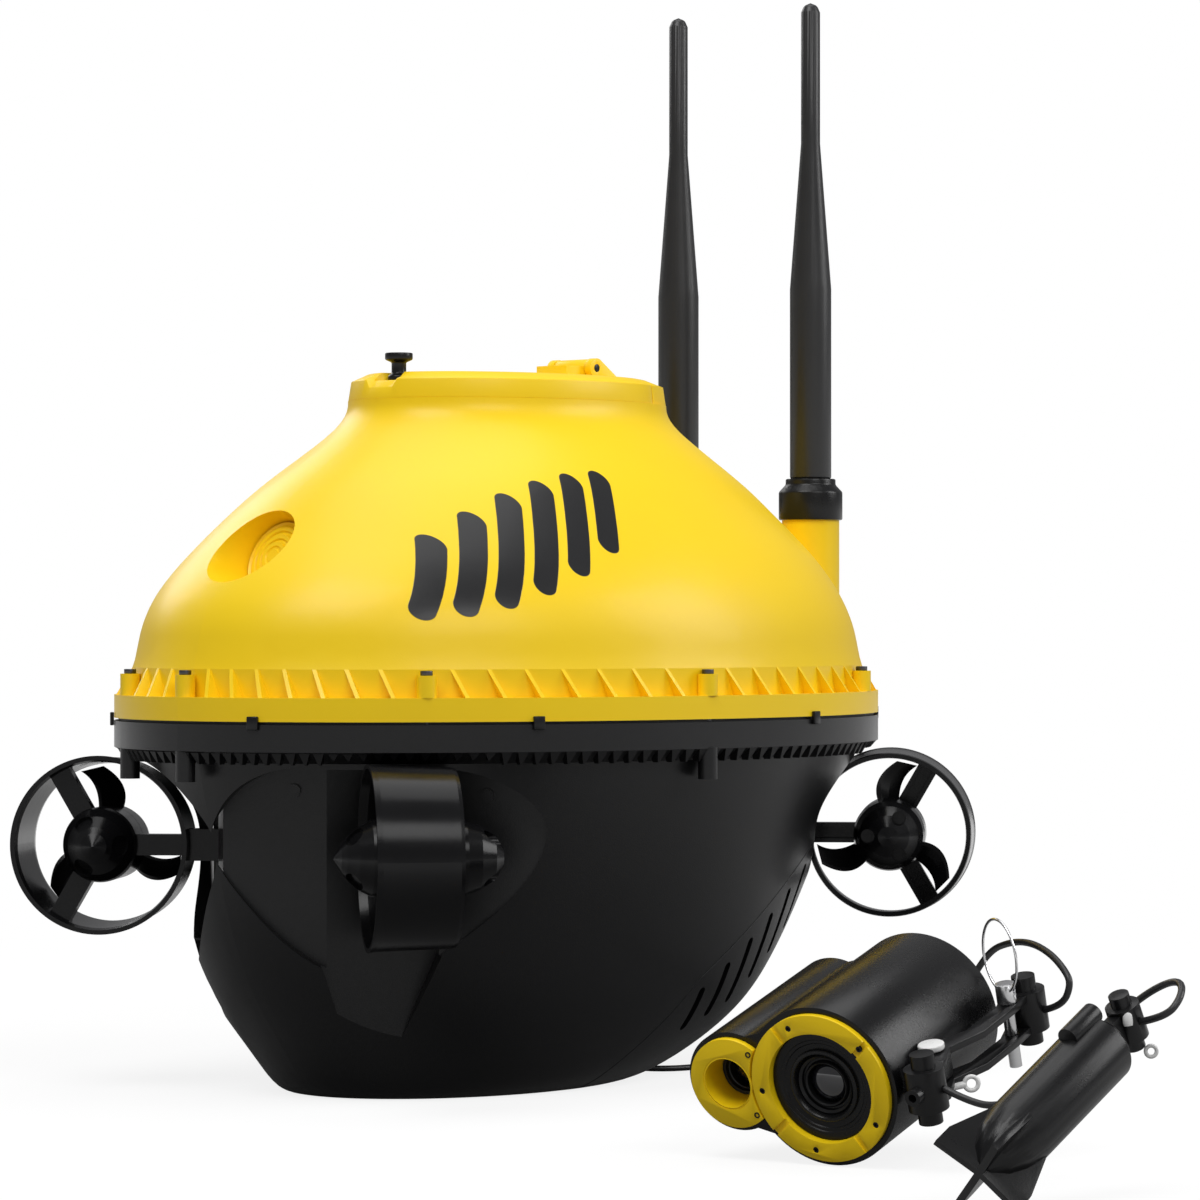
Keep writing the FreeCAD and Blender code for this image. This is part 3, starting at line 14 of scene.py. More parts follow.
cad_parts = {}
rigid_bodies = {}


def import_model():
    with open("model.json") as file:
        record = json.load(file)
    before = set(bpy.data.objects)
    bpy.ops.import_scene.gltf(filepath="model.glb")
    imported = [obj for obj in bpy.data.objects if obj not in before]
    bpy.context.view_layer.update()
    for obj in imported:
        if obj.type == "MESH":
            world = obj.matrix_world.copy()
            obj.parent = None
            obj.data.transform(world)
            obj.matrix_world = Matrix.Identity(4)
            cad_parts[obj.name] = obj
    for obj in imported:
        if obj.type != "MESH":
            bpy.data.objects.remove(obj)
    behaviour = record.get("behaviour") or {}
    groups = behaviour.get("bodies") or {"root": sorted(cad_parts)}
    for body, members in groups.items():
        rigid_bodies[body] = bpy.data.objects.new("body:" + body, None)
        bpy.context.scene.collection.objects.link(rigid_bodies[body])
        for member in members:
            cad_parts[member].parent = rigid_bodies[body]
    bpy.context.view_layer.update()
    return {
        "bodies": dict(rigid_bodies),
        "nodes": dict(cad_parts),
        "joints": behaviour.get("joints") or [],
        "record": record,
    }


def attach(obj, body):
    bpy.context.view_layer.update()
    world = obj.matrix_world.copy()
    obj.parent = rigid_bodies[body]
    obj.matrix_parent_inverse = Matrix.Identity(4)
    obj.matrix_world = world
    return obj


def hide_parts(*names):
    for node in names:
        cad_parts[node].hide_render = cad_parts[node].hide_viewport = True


log = logging.getLogger("inspection_boat")

Point = tuple[float, float, float]
Colour = tuple[float, float, float]
Outline = tuple[tuple[float, float], ...]
Piece = bpy.types.Object
Material = bpy.types.Material

HALF_LENGTH = 0.160
HALF_WIDTH = 0.113
TOWARD_CAMERA = Vector((0.719, 0.695, 0.0))
RIGHTWARD = Vector((-0.695, 0.719, 0.0))
UP = Vector((0.0, 0.0, 1.0))
TINY_RADIUS = 0.000004
MERGE_DISTANCE = 0.000005


class Side(Enum):
    """The two sides of the boat, as the sign of Y."""

    PORT = 1
    STARBOARD = -1


class End(Enum):
    """The two ends of the boat, as the sign of X."""

    BOW = 1
    STERN = -1


# Shader helpers


class Val:
    """A number socket of a shader tree that takes part in Python expressions."""

    def __init__(self, tree: "Tree", socket: bpy.types.NodeSocket | float) -> None:
        """Keep the tree and the socket or number."""
        self.tree = tree
        self.socket = socket

    def _math(self, operation: str, *others: "Val | float") -> "Val":
        """One Math node on this value and the others.

        Args:
            operation: the Math node's operation.
            others: the values for the sockets that follow.

        Returns:
            The node's result.
        """
        return self.tree.add("ShaderNodeMath", {"operation": operation}, dict(enumerate((self, *others))))

    def __add__(self, other: "Val | float") -> "Val":
        """Sum."""
        return self._math("ADD", other)

    __radd__ = __add__

    def __sub__(self, other: "Val | float") -> "Val":
        """Difference."""
        return self._math("SUBTRACT", other)

    def __rsub__(self, other: float) -> "Val":
        """Number less this value."""
        return Val(self.tree, other)._math("SUBTRACT", self)

    def __mul__(self, other: "Val | float") -> "Val":
        """Product."""
        return self._math("MULTIPLY", other)

    __rmul__ = __mul__

    def __truediv__(self, other: "Val | float") -> "Val":
        """Quotient."""
        return self._math("DIVIDE", other)

    def __rtruediv__(self, other: float) -> "Val":
        """Number over this value."""
        return Val(self.tree, other)._math("DIVIDE", self)

    def __abs__(self) -> "Val":
        """Size without sign."""
        return self._math("ABSOLUTE")

    def max(self, other: "Val | float") -> "Val":
        """The larger of two."""
        return self._math("MAXIMUM", other)

    def min(self, other: "Val | float") -> "Val":
        """The smaller of two."""
        return self._math("MINIMUM", other)

    def root(self) -> "Val":
        """Square root."""
        return self._math("SQRT")

    def below(self, edge: float, soft: float) -> "Val":
        """One where the value is under an edge, nought over it, with a soft step.

        Args:
            edge: the value at the middle of the step.
            soft: half the width of the step.

        Returns:
            The mask, from 0 to 1.
        """
        sockets = {"Value": self, "From Min": edge - soft, "From Max": edge + soft, "To Min": 1.0,
                   "To Max": 0.0}
        return self.tree.add("ShaderNodeMapRange", {"interpolation_type": "SMOOTHSTEP"}, sockets)


class Tree:
    """The node tree of one material, with Object coordinates at hand."""

    def __init__(self, name: str, owner: bpy.types.ID | None = None) -> None:
        """Make an empty material, or empty the owner's tree.

        Args:
            name: the material's name.
            owner: what holds the tree, where it isn't a new material.
        """
        self.material = owner or bpy.data.materials.new(name)
        self.material.use_nodes = True
        self.nodes = self.material.node_tree.nodes
        self.links = self.material.node_tree.links
        self.nodes.clear()

    def add(self, kind: str, settings: dict[str, object] | None = None,
            sockets: dict[int | str, object] | None = None, out: int | str = 0) -> Val:
        """Add any node: settings first, then its sockets.

        Args:
            kind: the node's type.
            settings: properties of the node, such as its operation.
            sockets: values or links by socket name or number.
            out: the output socket to return.

        Returns:
            The chosen output.
        """
        node = self.nodes.new(kind)
        for key, value in (settings or {}).items():
            setattr(node, key, value)
        for key, value in (sockets or {}).items():
            self.feed(node.inputs[key], value)
        return Val(self, node.outputs[out])

    def feed(self, socket: bpy.types.NodeSocket, value: object) -> None:
        """Link or set one input socket."""
        if isinstance(value, Val):
            value = value.socket
        if isinstance(value, bpy.types.NodeSocket):
            self.links.new(value, socket)
        elif socket.type == "RGBA" and len(value) == 3:
            socket.default_value = (*value, 1.0)
        else:
            socket.default_value = value

    @cached_property
    def where(self) -> Val:
        """Object coordinates."""
        return self.add("ShaderNodeTexCoord", out="Object")

    @cached_property
    def xyz(self) -> tuple[Val, Val, Val]:
        """Object coordinates, one value each."""
        node = self.add("ShaderNodeSeparateXYZ", sockets={0: self.where}).socket.node
        return tuple(Val(self, node.outputs[index]) for index in range(3))

    def ray(self, kind: str) -> Val:
        """One where the ray is of this kind."""
        return self.add("ShaderNodeLightPath", out="Is %s Ray" % kind)

    def noise(self, scale: float, detail: float = 3.0, where: Val | None = None) -> Val:
        """Noise from 0 to 1 with a scale per metre."""
        sockets = {"Vector": where or self.where, "Scale": scale, "Detail": detail, "Roughness": 0.5}
        return self.add("ShaderNodeTexNoise", None, sockets)

    def mix(self, factor: Val | float, low: object, high: object) -> Val:
        """A colour between two."""
        return self.add("ShaderNodeMix", {"data_type": "RGBA"}, {0: factor, 6: low, 7: high}, 2)

    def bump(self, height: Val, depth: float, under: Val | None = None) -> Val:
        """A bump with a depth in metres."""
        sockets = {"Height": height, "Distance": depth, "Strength": 1.0}
        if under is not None:
            sockets["Normal"] = under
        return self.add("ShaderNodeBump", None, sockets)

    def surface(self, **sockets: object) -> Material:
        """Finish the material with one Principled shader.

        Args:
            sockets: values or links by socket name, with underscores for spaces.

        Returns:
            The material.
        """
        named = {key.replace("_", " "): value for key, value in sockets.items()}
        shader = self.add("ShaderNodeBsdfPrincipled", None, named)
        self.add_output(shader)
        return self.material

    def add_output(self, shader: Val) -> None:
        """Link a shader to the material's output."""
        out = self.nodes.new("ShaderNodeOutputMaterial")
        self.links.new(shader.socket, out.inputs["Surface"])


# Finishes


@dataclass(frozen=True)
class Moulded:
    """Satin moulded plastic: fine grain, faint cloudiness and polish that varies a little."""

    name: str
    colour: Colour
    roughness: float = 0.36
    grain: float = 0.00003
    cloud: float = 0.06
    coat: float = 0.0
    shine: float = 0.5
    cloud_scale: float = 14.0
    polish_scale: float = 38.0
    polish_reach: float = 0.10
    speckle_scale: float = 900.0
    speckle_reach: float = 0.06
    grain_scale: float = 2600.0
    coat_roughness: float = 0.12

    def base(self, tree: Tree) -> Val:
        """The plastic's colour with its faint cloudiness.

        Args:
            tree: the material's tree.

        Returns:
            The colour.
        """
        deep = tuple(channel * (1.0 - self.cloud) for channel in self.colour)
        light = tuple(min(1.0, channel * (1.0 + self.cloud)) for channel in self.colour)
        return tree.mix(tree.noise(self.cloud_scale, 2.0), deep, light)

    def polish(self, tree: Tree) -> Val:
        """Roughness that wanders a little over the surface."""
        slow = (tree.noise(self.polish_scale, 4.0) - 0.5) * self.polish_reach
        return self.roughness + slow + (tree.noise(self.speckle_scale, 2.0) - 0.5) * self.speckle_reach

    def grained(self, tree: Tree) -> Val:
        """The fine grain of the mould as a bump."""
        return tree.bump(tree.noise(self.grain_scale, 2.0), self.grain)

    def finish(self, tree: Tree, colour: Val, polish: Val, relief: Val) -> Material:
        """The shader with the plastic's own coat and shine."""
        return tree.surface(Base_Color=colour, Roughness=polish, Normal=relief, Coat_Weight=self.coat,
                            Coat_Roughness=self.coat_roughness, Specular_IOR_Level=self.shine)

    def build(self) -> Material:
        """Make the material."""
        tree = Tree(self.name)
        return self.finish(tree, self.base(tree), self.polish(tree), self.grained(tree))


@dataclass(frozen=True)
class DecalPlastic(Moulded):
    """The yellow shell's plastic, with a plain set of leaning bars printed on each flank."""

    ink: Colour = (0.012, 0.012, 0.013)
    bars: int = 6
    first_bar: tuple[float, float] = (0.104, 0.180)
    bar_step: tuple[float, float] = (-0.0145, 0.0046)
    bar_half: float = 0.0036
    longest: float = 0.046
    shortest_share: float = 0.45
    lean: float = 0.55
    edge_soft: float = 0.00012
    ink_depth: float = 0.00008
    ink_polish: float = 0.06
    clear_middle: tuple[float, float] = (0.02, 0.0001)

    def printed(self, tree: Tree) -> Val:
        """A mask of the printed bars, each a leaning bar with round ends.

        Args:
            tree: the material's tree.

        Returns:
            One on the ink.
        """
        x, y, z = tree.xyz
        mask: Val | None = None
        sine, cosine = math.sin(self.lean), math.cos(self.lean)
        for number in range(self.bars):
            out_x = x - (self.first_bar[0] + number * self.bar_step[0])
            out_z = z - (self.first_bar[1] + number * self.bar_step[1])
            swell = math.sin(math.pi * (number + 1.2) / (self.bars + 1.4))
            long = self.longest * (self.shortest_share + (1.0 - self.shortest_share) * swell)
            across = out_x * cosine + out_z * sine
            upward = out_z * cosine - out_x * sine
            past = (abs(upward) - (long / 2 - self.bar_half)).max(0.0)
            reach = (across * across + past * past).root()
            bar = reach.below(self.bar_half, self.edge_soft)
            mask = bar if mask is None else mask.max(bar)
        off_centre = 1.0 - abs(y).below(*self.clear_middle)
        return mask * off_centre

    def build(self) -> Material:
        """Make the material."""
        tree = Tree(self.name)
        ink = self.printed(tree)
        colour = tree.mix(ink, self.base(tree), self.ink)
        edge = tree.bump(ink, self.ink_depth, under=self.grained(tree))
        return self.finish(tree, colour, self.polish(tree) - ink * self.ink_polish, edge)


@dataclass(frozen=True)
class SeamPlastic(Moulded):
    """The black hull's plastic, with the fine gap round the stern cover."""

    seam: Outline = (
        (-0.175, 0.092), (-0.100, 0.092), (-0.078, 0.084), (-0.014, 0.040), (0.020, -0.005),
    )
    gap: float = 0.0004
    gap_deep: float = 0.0003
    gap_colour: Colour = (0.003, 0.003, 0.003)
    gap_rough: float = 0.3

    def line(self, tree: Tree) -> Val:
        """A mask of the seam, which runs straight from corner to corner seen from the side.

        Args:
            tree: the material's tree.

        Returns:
            One in the gap.
        """
        x, _, z = tree.xyz
        nearest: Val | None = None
        for (from_x, from_z), (to_x, to_z) in zip(self.seam, self.seam[1:]):
            reach = math.hypot(to_x - from_x, to_z - from_z)
            step_x, step_z = (to_x - from_x) / reach, (to_z - from_z) / reach
            along = ((x - from_x) * step_x + (z - from_z) * step_z).max(0.0).min(reach)
            off_x = x - from_x - along * step_x
            off_z = z - from_z - along * step_z
            away = off_x * off_x + off_z * off_z
            nearest = away if nearest is None else nearest.min(away)
        return nearest.root().below(self.gap, self.gap * 0.4)

    def build(self) -> Material:
        """Make the material."""
        tree = Tree(self.name)
        seam = self.line(tree)
        colour = tree.mix(seam, self.base(tree), self.gap_colour)
        groove = tree.bump(1.0 - seam, self.gap_deep, under=self.grained(tree))
        return self.finish(tree, colour, self.polish(tree) + seam * self.gap_rough, groove)


@dataclass(frozen=True)
class BrushedMetal:
    """Turned or brushed metal with fine marks."""

    name: str
    colour: Colour
    roughness: float = 0.25
    marks: float = 0.00001
    mark_scale: float = 420.0
    mark_stretch: float = 14.0
    mark_shade: float = 0.86
    mark_reach: float = 0.14

    def build(self) -> Material:
        """Make the material."""
        tree = Tree(self.name)
        scale = (1.0, 1.0, self.mark_stretch)
        stretched = tree.add("ShaderNodeMapping", None, {"Vector": tree.where, "Scale": scale})
        lines = tree.noise(self.mark_scale, 3.0, where=stretched)
        deep = tuple(channel * self.mark_shade for channel in self.colour)
        return tree.surface(Base_Color=tree.mix(lines, deep, self.colour), Metallic=1.0,
                            Roughness=self.roughness + (lines - 0.5) * self.mark_reach,
                            Normal=tree.bump(lines, self.marks))


@dataclass(frozen=True)
class Rubber:
    """Dull rubber or cord jacket with a fine texture."""

    name: str
    colour: Colour
    roughness: float = 0.55
    texture: float = 1800.0
    texture_deep: float = 0.00004
    shade: float = 0.8
    wear_scale: float = 60.0
    wear_reach: float = 0.14

    def build(self) -> Material:
        """Make the material."""
        tree = Tree(self.name)
        speckle = tree.noise(self.texture, 3.0)
        deep = tuple(channel * self.shade for channel in self.colour)
        wear = (tree.noise(self.wear_scale) - 0.5) * self.wear_reach
        return tree.surface(Base_Color=tree.mix(speckle, deep, self.colour), Roughness=self.roughness + wear,
                            Normal=tree.bump(speckle, self.texture_deep))


@dataclass(frozen=True)
class Glass:
    """Coated optical glass, dark to look into, with a faint smear."""

    name: str
    colour: Colour
    roughness: float = 0.06
    smear_scale: float = 90.0
    smear_reach: float = 0.05
    tint: tuple[float, float] = (2.2, 0.004)
    index: float = 1.6
    coat_roughness: float = 0.03

    def build(self) -> Material:
        """Make the material."""
        tree = Tree(self.name)
        smear = tree.noise(self.smear_scale, 4.0)
        times, plus = self.tint
        light = tuple(min(1.0, channel * times + plus) for channel in self.colour)
        return tree.surface(Base_Color=tree.mix(smear, self.colour, light),
                            Roughness=self.roughness + smear * self.smear_reach,
                            Coat_Weight=1.0, Coat_Roughness=self.coat_roughness, IOR=self.index)


YELLOW: Colour = (1.0, 0.655, 0.006)
HULL_BLACK: Colour = (0.0065, 0.0065, 0.007)
FITTING_BLACK: Colour = (0.006, 0.006, 0.0065)


@dataclass(frozen=True)
class Finishes:
    """Every finish of the object."""

    yellow: DecalPlastic = DecalPlastic("shell_yellow", YELLOW, 0.38, coat=0.04, shine=0.35)
    yellow_plain: Moulded = Moulded("deck_yellow", YELLOW, 0.40, coat=0.04, shine=0.35)
    camera_yellow: Moulded = Moulded("bezel_yellow", (0.98, 0.66, 0.006), 0.44, 0.00002, shine=0.3)
    hull_black: Moulded = Moulded("hull_black", HULL_BLACK, 0.31, 0.00004, 0.1, shine=0.36)
    seamed_black: SeamPlastic = SeamPlastic("seamed_black", HULL_BLACK, 0.31, 0.00004, 0.1, shine=0.36)
    fitting_black: Moulded = Moulded("fitting_black", FITTING_BLACK, 0.30, 0.00003, 0.1, shine=0.3)
    gloss_black: Moulded = Moulded("gloss_black", (0.005, 0.005, 0.0055), 0.20, 0.00002, 0.1, shine=0.22)
    camera_black: Moulded = Moulded("camera_black", FITTING_BLACK, 0.27, 0.00004, 0.08, shine=0.28)
    sleeve: Rubber = Rubber("antenna_sleeve", (0.016, 0.016, 0.017), 0.36, 2200.0)
    seal: Rubber = Rubber("seal_rubber", (0.012, 0.012, 0.012), 0.6)
    jacket: Rubber = Rubber("cord_jacket", (0.014, 0.014, 0.015), 0.40, 3000.0)
    steel: BrushedMetal = BrushedMetal("screw_steel", (0.55, 0.55, 0.57), 0.3)
    dark_steel: BrushedMetal = BrushedMetal("dark_steel", (0.10, 0.10, 0.11), 0.35)
    bright: BrushedMetal = BrushedMetal("pin_steel", (0.90, 0.90, 0.91), 0.22)
    satin_white: Moulded = Moulded("button_white", (0.78, 0.78, 0.77), 0.28, 0.00001)
    inner: Moulded = Moulded("inner_grey", (0.09, 0.09, 0.10), 0.5)
    wrap: Moulded = Moulded("battery_wrap", (0.03, 0.05, 0.12), 0.3)
    board: Moulded = Moulded("board_green", (0.01, 0.10, 0.035), 0.35)
    lens: Glass = Glass("lens_glass", (0.003, 0.003, 0.005), 0.04)


class Paints:
    """Builds each finish once and hands it out by name."""

    def __init__(self) -> None:
        """Start with nothing built."""
        self.finishes = Finishes()
        self.made: dict[str, Material] = {}

    def __getattr__(self, name: str) -> Material:
        """The material of a finish."""
        if name not in self.made:
            self.made[name] = getattr(self.finishes, name).build()
        return self.made[name]


# Camera, floor and light


@dataclass
class Studio:
    """Camera at the photograph's angle, a pale floor and soft lamps.

    The focal length and the centre are in pixels of the photograph. Each pair of the floor's values holds
    near the object and far from it, and the fade is where the change starts and how far it runs.
    """

    distance: float = 1.7376
    height: float = 0.16724
    photo_wide: float = 1200.0
    sensor: float = 36.0
    clip: tuple[float, float] = (0.05, 30.0)
    focal: float = 4800.0
    centre_right: float = 93.0
    centre_up: float = 15.0
    floor_size: float = 14.0
    floor_level: float = -0.0002
    floor_colour: Colour = (0.97, 0.97, 0.97)
    floor_bounce: Colour = (0.26, 0.26, 0.26)
    floor_rough: float = 0.6
    floor_mirrored: tuple[float, float] = (0.02, 1.0)
    floor_veil: tuple[float, float] = (0.84, 1.0)
    floor_fade: tuple[float, float] = (0.22, 0.55)
    world_light: Colour = (0.26, 0.26, 0.265)
    white: Colour = (1.0, 1.0, 1.0)
    lamp_aim: Point = (0.03, 0.06, 0.14)
    lamps: tuple[tuple[str, Point, float, float, float], ...] = (
        ("key_lamp", (1.25, 0.3, 2.1), 1.2, 1.2, 25.0),
        ("front_lamp", (0.7, 1.9, 1.5), 1.3, 0.8, 13.5),
        ("side_lamp", (-1.4, 1.6, 1.2), 1.0, 1.2, 19.0),
        ("top_lamp", (-0.2, -0.2, 2.1), 1.5, 1.5, 13.0),
        ("rim_lamp", (-0.4, -2.0, 1.2), 1.3, 0.9, 10.0),
    )

    def build(self) -> None:
        """Make the camera, the floor, the world and the lamps."""
        self._camera()
        self._floor()
        self._world()
        for name, spot, wide, tall, power in self.lamps:
            self._lamp(name, Vector(spot), wide, tall, power)
        bpy.context.scene.view_settings.view_transform = "Standard"
        log.info("studio built")

    def _camera(self) -> None:
        """Aim the camera at the middle of the photograph's frame."""
        spot = TOWARD_CAMERA * self.distance + UP * self.height
        aim = TOWARD_CAMERA * -self.focal + RIGHTWARD * self.centre_right + UP * self.centre_up
        bpy.ops.object.camera_add(location=spot, rotation=aim.to_track_quat("-Z", "Y").to_euler())
        camera = bpy.context.active_object
        camera.name = "photo_camera"
        camera.data.sensor_width = self.sensor
        camera.data.lens = self.sensor * self.focal / self.photo_wide
        camera.data.clip_start, camera.data.clip_end = self.clip
        bpy.context.scene.camera = camera

    def _floor(self) -> None:
        """A wide pale floor, white far away and dark in mirror images near the object."""
        bpy.ops.mesh.primitive_plane_add(size=self.floor_size, location=UP * self.floor_level)
        floor = bpy.context.active_object
        floor.name = "studio_floor"
        tree = Tree("studio_floor")
        glossy = tree.ray("Glossy")
        colour = tree.mix(tree.ray("Diffuse").max(glossy), self.floor_colour, self.floor_bounce)
        shade = tree.add("ShaderNodeBsdfDiffuse", None, {"Color": colour, "Roughness": self.floor_rough})
        glow = tree.add("ShaderNodeEmission", None, {"Color": self.white, "Strength": 1.0})
        x, y, _ = tree.xyz
        near, wide = self.floor_fade
        far = (((x * x + y * y).root() - near) / wide).max(0.0).min(1.0)
        low, high = self.floor_mirrored
        mirrored = glossy * (far * (high - low) + low)
        seen = mirrored.max(tree.ray("Transmission"))
        low, high = self.floor_veil
        veil = tree.ray("Camera") * (far * (high - low) + low)
        tree.add_output(tree.add("ShaderNodeMixShader", None, {0: seen.max(veil), 1: shade, 2: glow}))
        floor.data.materials.append(tree.material)

    def _world(self) -> None:
        """A white backdrop for the eye, a plain grey for the light."""
        world = bpy.data.worlds.new("studio_world")
        bpy.context.scene.world = world
        tree = Tree("studio_world", world)
        seen = tree.ray("Camera").max(tree.ray("Transmission"))
        colour = tree.mix(seen, self.world_light, self.white)
        shade = tree.add("ShaderNodeBackground", None, {"Color": colour, "Strength": 1.0})
        tree.links.new(shade.socket, tree.nodes.new("ShaderNodeOutputWorld").inputs["Surface"])

    def _lamp(self, name: str, spot: Vector, wide: float, tall: float, power: float) -> None:
        """One soft lamp that faces the object.

        Args:
            name: the lamp's name.
            spot: where it hangs.
            wide: its width.
            tall: its height.
            power: its power in watts.
        """
        aim = Vector(self.lamp_aim) - spot
        bpy.ops.object.light_add(type="AREA", location=spot, rotation=aim.to_track_quat("-Z", "Y").to_euler())
        lamp = bpy.context.active_object
        lamp.name = name
        lamp.data.shape = "RECTANGLE"
        lamp.data.size = wide
        lamp.data.size_y = tall
        lamp.data.energy = power


# Cords


@dataclass
class Cord:
    """A free cord along listed points."""

    name: str
    node: str
    route: Sequence[Point]
    length: float
    diameter: float = 0.0022
    lay: str = "loose"

    def build(self, paints: Paints) -> None:
        """Args:
            paints: the materials.
        """
        curve = bpy.data.curves.new(self.name, "CURVE")
        curve.dimensions = "3D"
        curve.bevel_depth = self.diameter / 2
        curve.bevel_resolution = 5
        curve.resolution_u = 10
        curve.use_fill_caps = True
        spline = curve.splines.new("NURBS")
        spline.points.add(len(self.route) - 1)
        for point, spot in zip(spline.points, self.route):
            point.co = (*spot, 1.0)
        spline.order_u = 3
        spline.use_endpoint_u = True
        cord = bpy.data.objects.new(self.name, curve)
        bpy.context.collection.objects.link(cord)
        curve.materials.append(paints.jacket)
        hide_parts(self.node)
        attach(cord, "hull")
        self.route[0]
        self.length
        self.diameter
        self.lay
        log.info("cord %s built", self.name)


# Modelling steps


def deselect() -> None:
    """Nothing selected, object mode."""
    bpy.ops.object.select_all(action="DESELECT")


def pick(piece: Piece) -> None:
    """Select one piece alone and make it active."""
    deselect()
    piece.select_set(True)
    bpy.context.view_layer.objects.active = piece


def edit(select: str = "SELECT") -> None:
    """Edit mode with everything selected, or nothing."""
    bpy.ops.object.mode_set(mode="EDIT")
    bpy.ops.mesh.select_all(action=select)


def leave_edit() -> None:
    """Back to object mode."""
    bpy.ops.object.mode_set(mode="OBJECT")


def turn_to(origin: Vector, x_way: Vector, z_way: Vector) -> Matrix:
    """A frame from its origin and two directions.

    Args:
        origin: where the frame's origin lies.
        x_way: its X direction.
        z_way: its Z direction.

    Returns:
        The frame as a matrix.
    """
    z_axis = z_way.normalized()
    y_axis = z_axis.cross(x_way).normalized()
    x_axis = y_axis.cross(z_axis)
    frame = Matrix((x_axis, y_axis, z_axis)).transposed().to_4x4()
    frame.translation = origin
    return frame


@dataclass
class Bench:
    """What every sub-assembly builds with: the frame, the materials and the modelling steps."""

    nodes: dict[str, Piece]
    body_of: dict[str, str]
    slot_of: dict[str, str]
    paints: Paints = field(default_factory=Paints)

    def lathe(self, name: str, outline: Outline, frame: Matrix, steps: int = 64) -> Piece:
        """A turned piece: a ring that is extruded and resized from corner to corner.

        Args:
            name: the piece's name.
            outline: (radius, height) pairs in metres; a radius of 0 closes the piece.
            frame: where its own axis and origin lie.
            steps: corners of the ring.

        Returns:
            The piece, in the row frame.
        """
        deselect()
        rings = [(max(radius, TINY_RADIUS), height) for radius, height in outline]
        radius, height = rings[0]
        bpy.ops.mesh.primitive_circle_add(vertices=steps, radius=radius, location=(0.0, 0.0, height))
        piece = bpy.context.active_object
        piece.name = name
        bpy.ops.object.transform_apply(location=True, rotation=True, scale=True)
        edit()
        for next_radius, next_height in rings[1:]:
            share = next_radius / radius
            rise = (0.0, 0.0, next_height - height)
            bpy.ops.mesh.extrude_edges_move(TRANSFORM_OT_translate={"value": rise})
            bpy.ops.transform.resize(value=(share, share, 1.0), center_override=(0.0, 0.0, next_height))
            radius, height = next_radius, next_height
        bpy.ops.mesh.select_all(action="SELECT")
        bpy.ops.mesh.remove_doubles(threshold=2.0 * MERGE_DISTANCE)
        bpy.ops.mesh.normals_make_consistent(inside=False)
        leave_edit()
        piece.data.transform(frame)
        return piece

    def hoop(self, name: str, foot: Point, up: Vector, side: Vector, radius: float, wire: float,
             tall: float = 1.0) -> Piece:
        """A wire ring that stands on a point.

        Args:
            name: the ring's name.
            foot: its lowest point.
            up: the way from that point to the ring's middle.
            side: the ring's other axis.
            radius: its middle radius.
            wire: the wire's radius.
            tall: how much it is drawn out along `up`.

        Returns:
            The ring, in the row frame.
        """
        deselect()
        bpy.ops.mesh.primitive_torus_add(major_radius=radius, minor_radius=wire, major_segments=72,
                                         minor_segments=12)
        ring = bpy.context.active_object
        ring.name = name
        edit()
        bpy.ops.transform.resize(value=(tall, 1.0, 1.0), center_override=(0.0, 0.0, 0.0))
        leave_edit()
        middle = Vector(foot) + up.normalized() * radius * tall
        ring.data.transform(turn_to(middle, up, up.cross(side)))
        return ring

    def bevel(self, piece: Piece, width: float, segments: int) -> None:
        """Round the edges that are sharper than 35 degrees and apply it.

        Args:
            piece: the piece.
            width: the bevel's width in metres.
            segments: its steps.
        """
        pick(piece)
        bevel = piece.modifiers.new("edge", "BEVEL")
        bevel.width = width
        bevel.segments = segments
        bevel.limit_method = "ANGLE"
        bevel.angle_limit = math.radians(35.0)
        bevel.use_clamp_overlap = True
        bpy.ops.object.modifier_apply(modifier=bevel.name)

    def settle(self, piece: Piece, paint: str, body: str, slot: str,
               stands_for: Iterable[str] = (), angle: float = 32.0) -> Piece:
        """Finish a piece: shading, material, body and the nodes it stands for.

        Args:
            piece: the piece, in the row frame.
            paint: the finish's name.
            body: the body that it rides on.
            slot: the record's material slot; not used.
            stands_for: the nodes that it replaces.
            angle: the shading angle in degrees.

        Returns:
            The piece.
        """
        pick(piece)
        bpy.ops.object.shade_smooth_by_angle(angle=math.radians(angle))
        piece.data.materials.clear()
        piece.data.materials.append(getattr(self.paints, paint))
        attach(piece, body)
        for node in stands_for:
            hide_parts(node)
        return piece

    def copy_of(self, node: str) -> Piece:
        """A merged copy of a CAD node, ready to be worked on."""
        piece = bpy.data.objects.new(node + "_skin", self.nodes[node].data.copy())
        bpy.context.collection.objects.link(piece)
        pick(piece)
        edit()
        bpy.ops.mesh.remove_doubles(threshold=MERGE_DISTANCE)
        leave_edit()
        return piece

    def dress(self, node: str, paint: str, edge: float = 0.0, segments: int = 2,
              angle: float = 32.0) -> Piece:
        """Stand a finished copy in for a CAD node, with rounded edges where wanted.

        Args:
            node: the CAD node.
            paint: the finish's name.
            edge: the width of its rounded edges, or 0.
            segments: the steps of a rounded edge.
            angle: the shading angle in degrees.

        Returns:
            The piece.
        """
        piece = self.copy_of(node)
        if edge > 0.0:
            edit()
            bpy.ops.mesh.dissolve_limited(angle_limit=math.radians(1.0))
            leave_edit()
            self.bevel(piece, edge, segments)
        return self.settle(piece, paint, self.body_of[node], self.slot_of[node], (node,), angle)

    def paint(self, node: str, paint: str) -> None:
        """Give a CAD node its material and leave its shape."""
        item = self.nodes[node]
        item.data.materials.clear()
        item.data.materials.append(getattr(self.paints, paint))

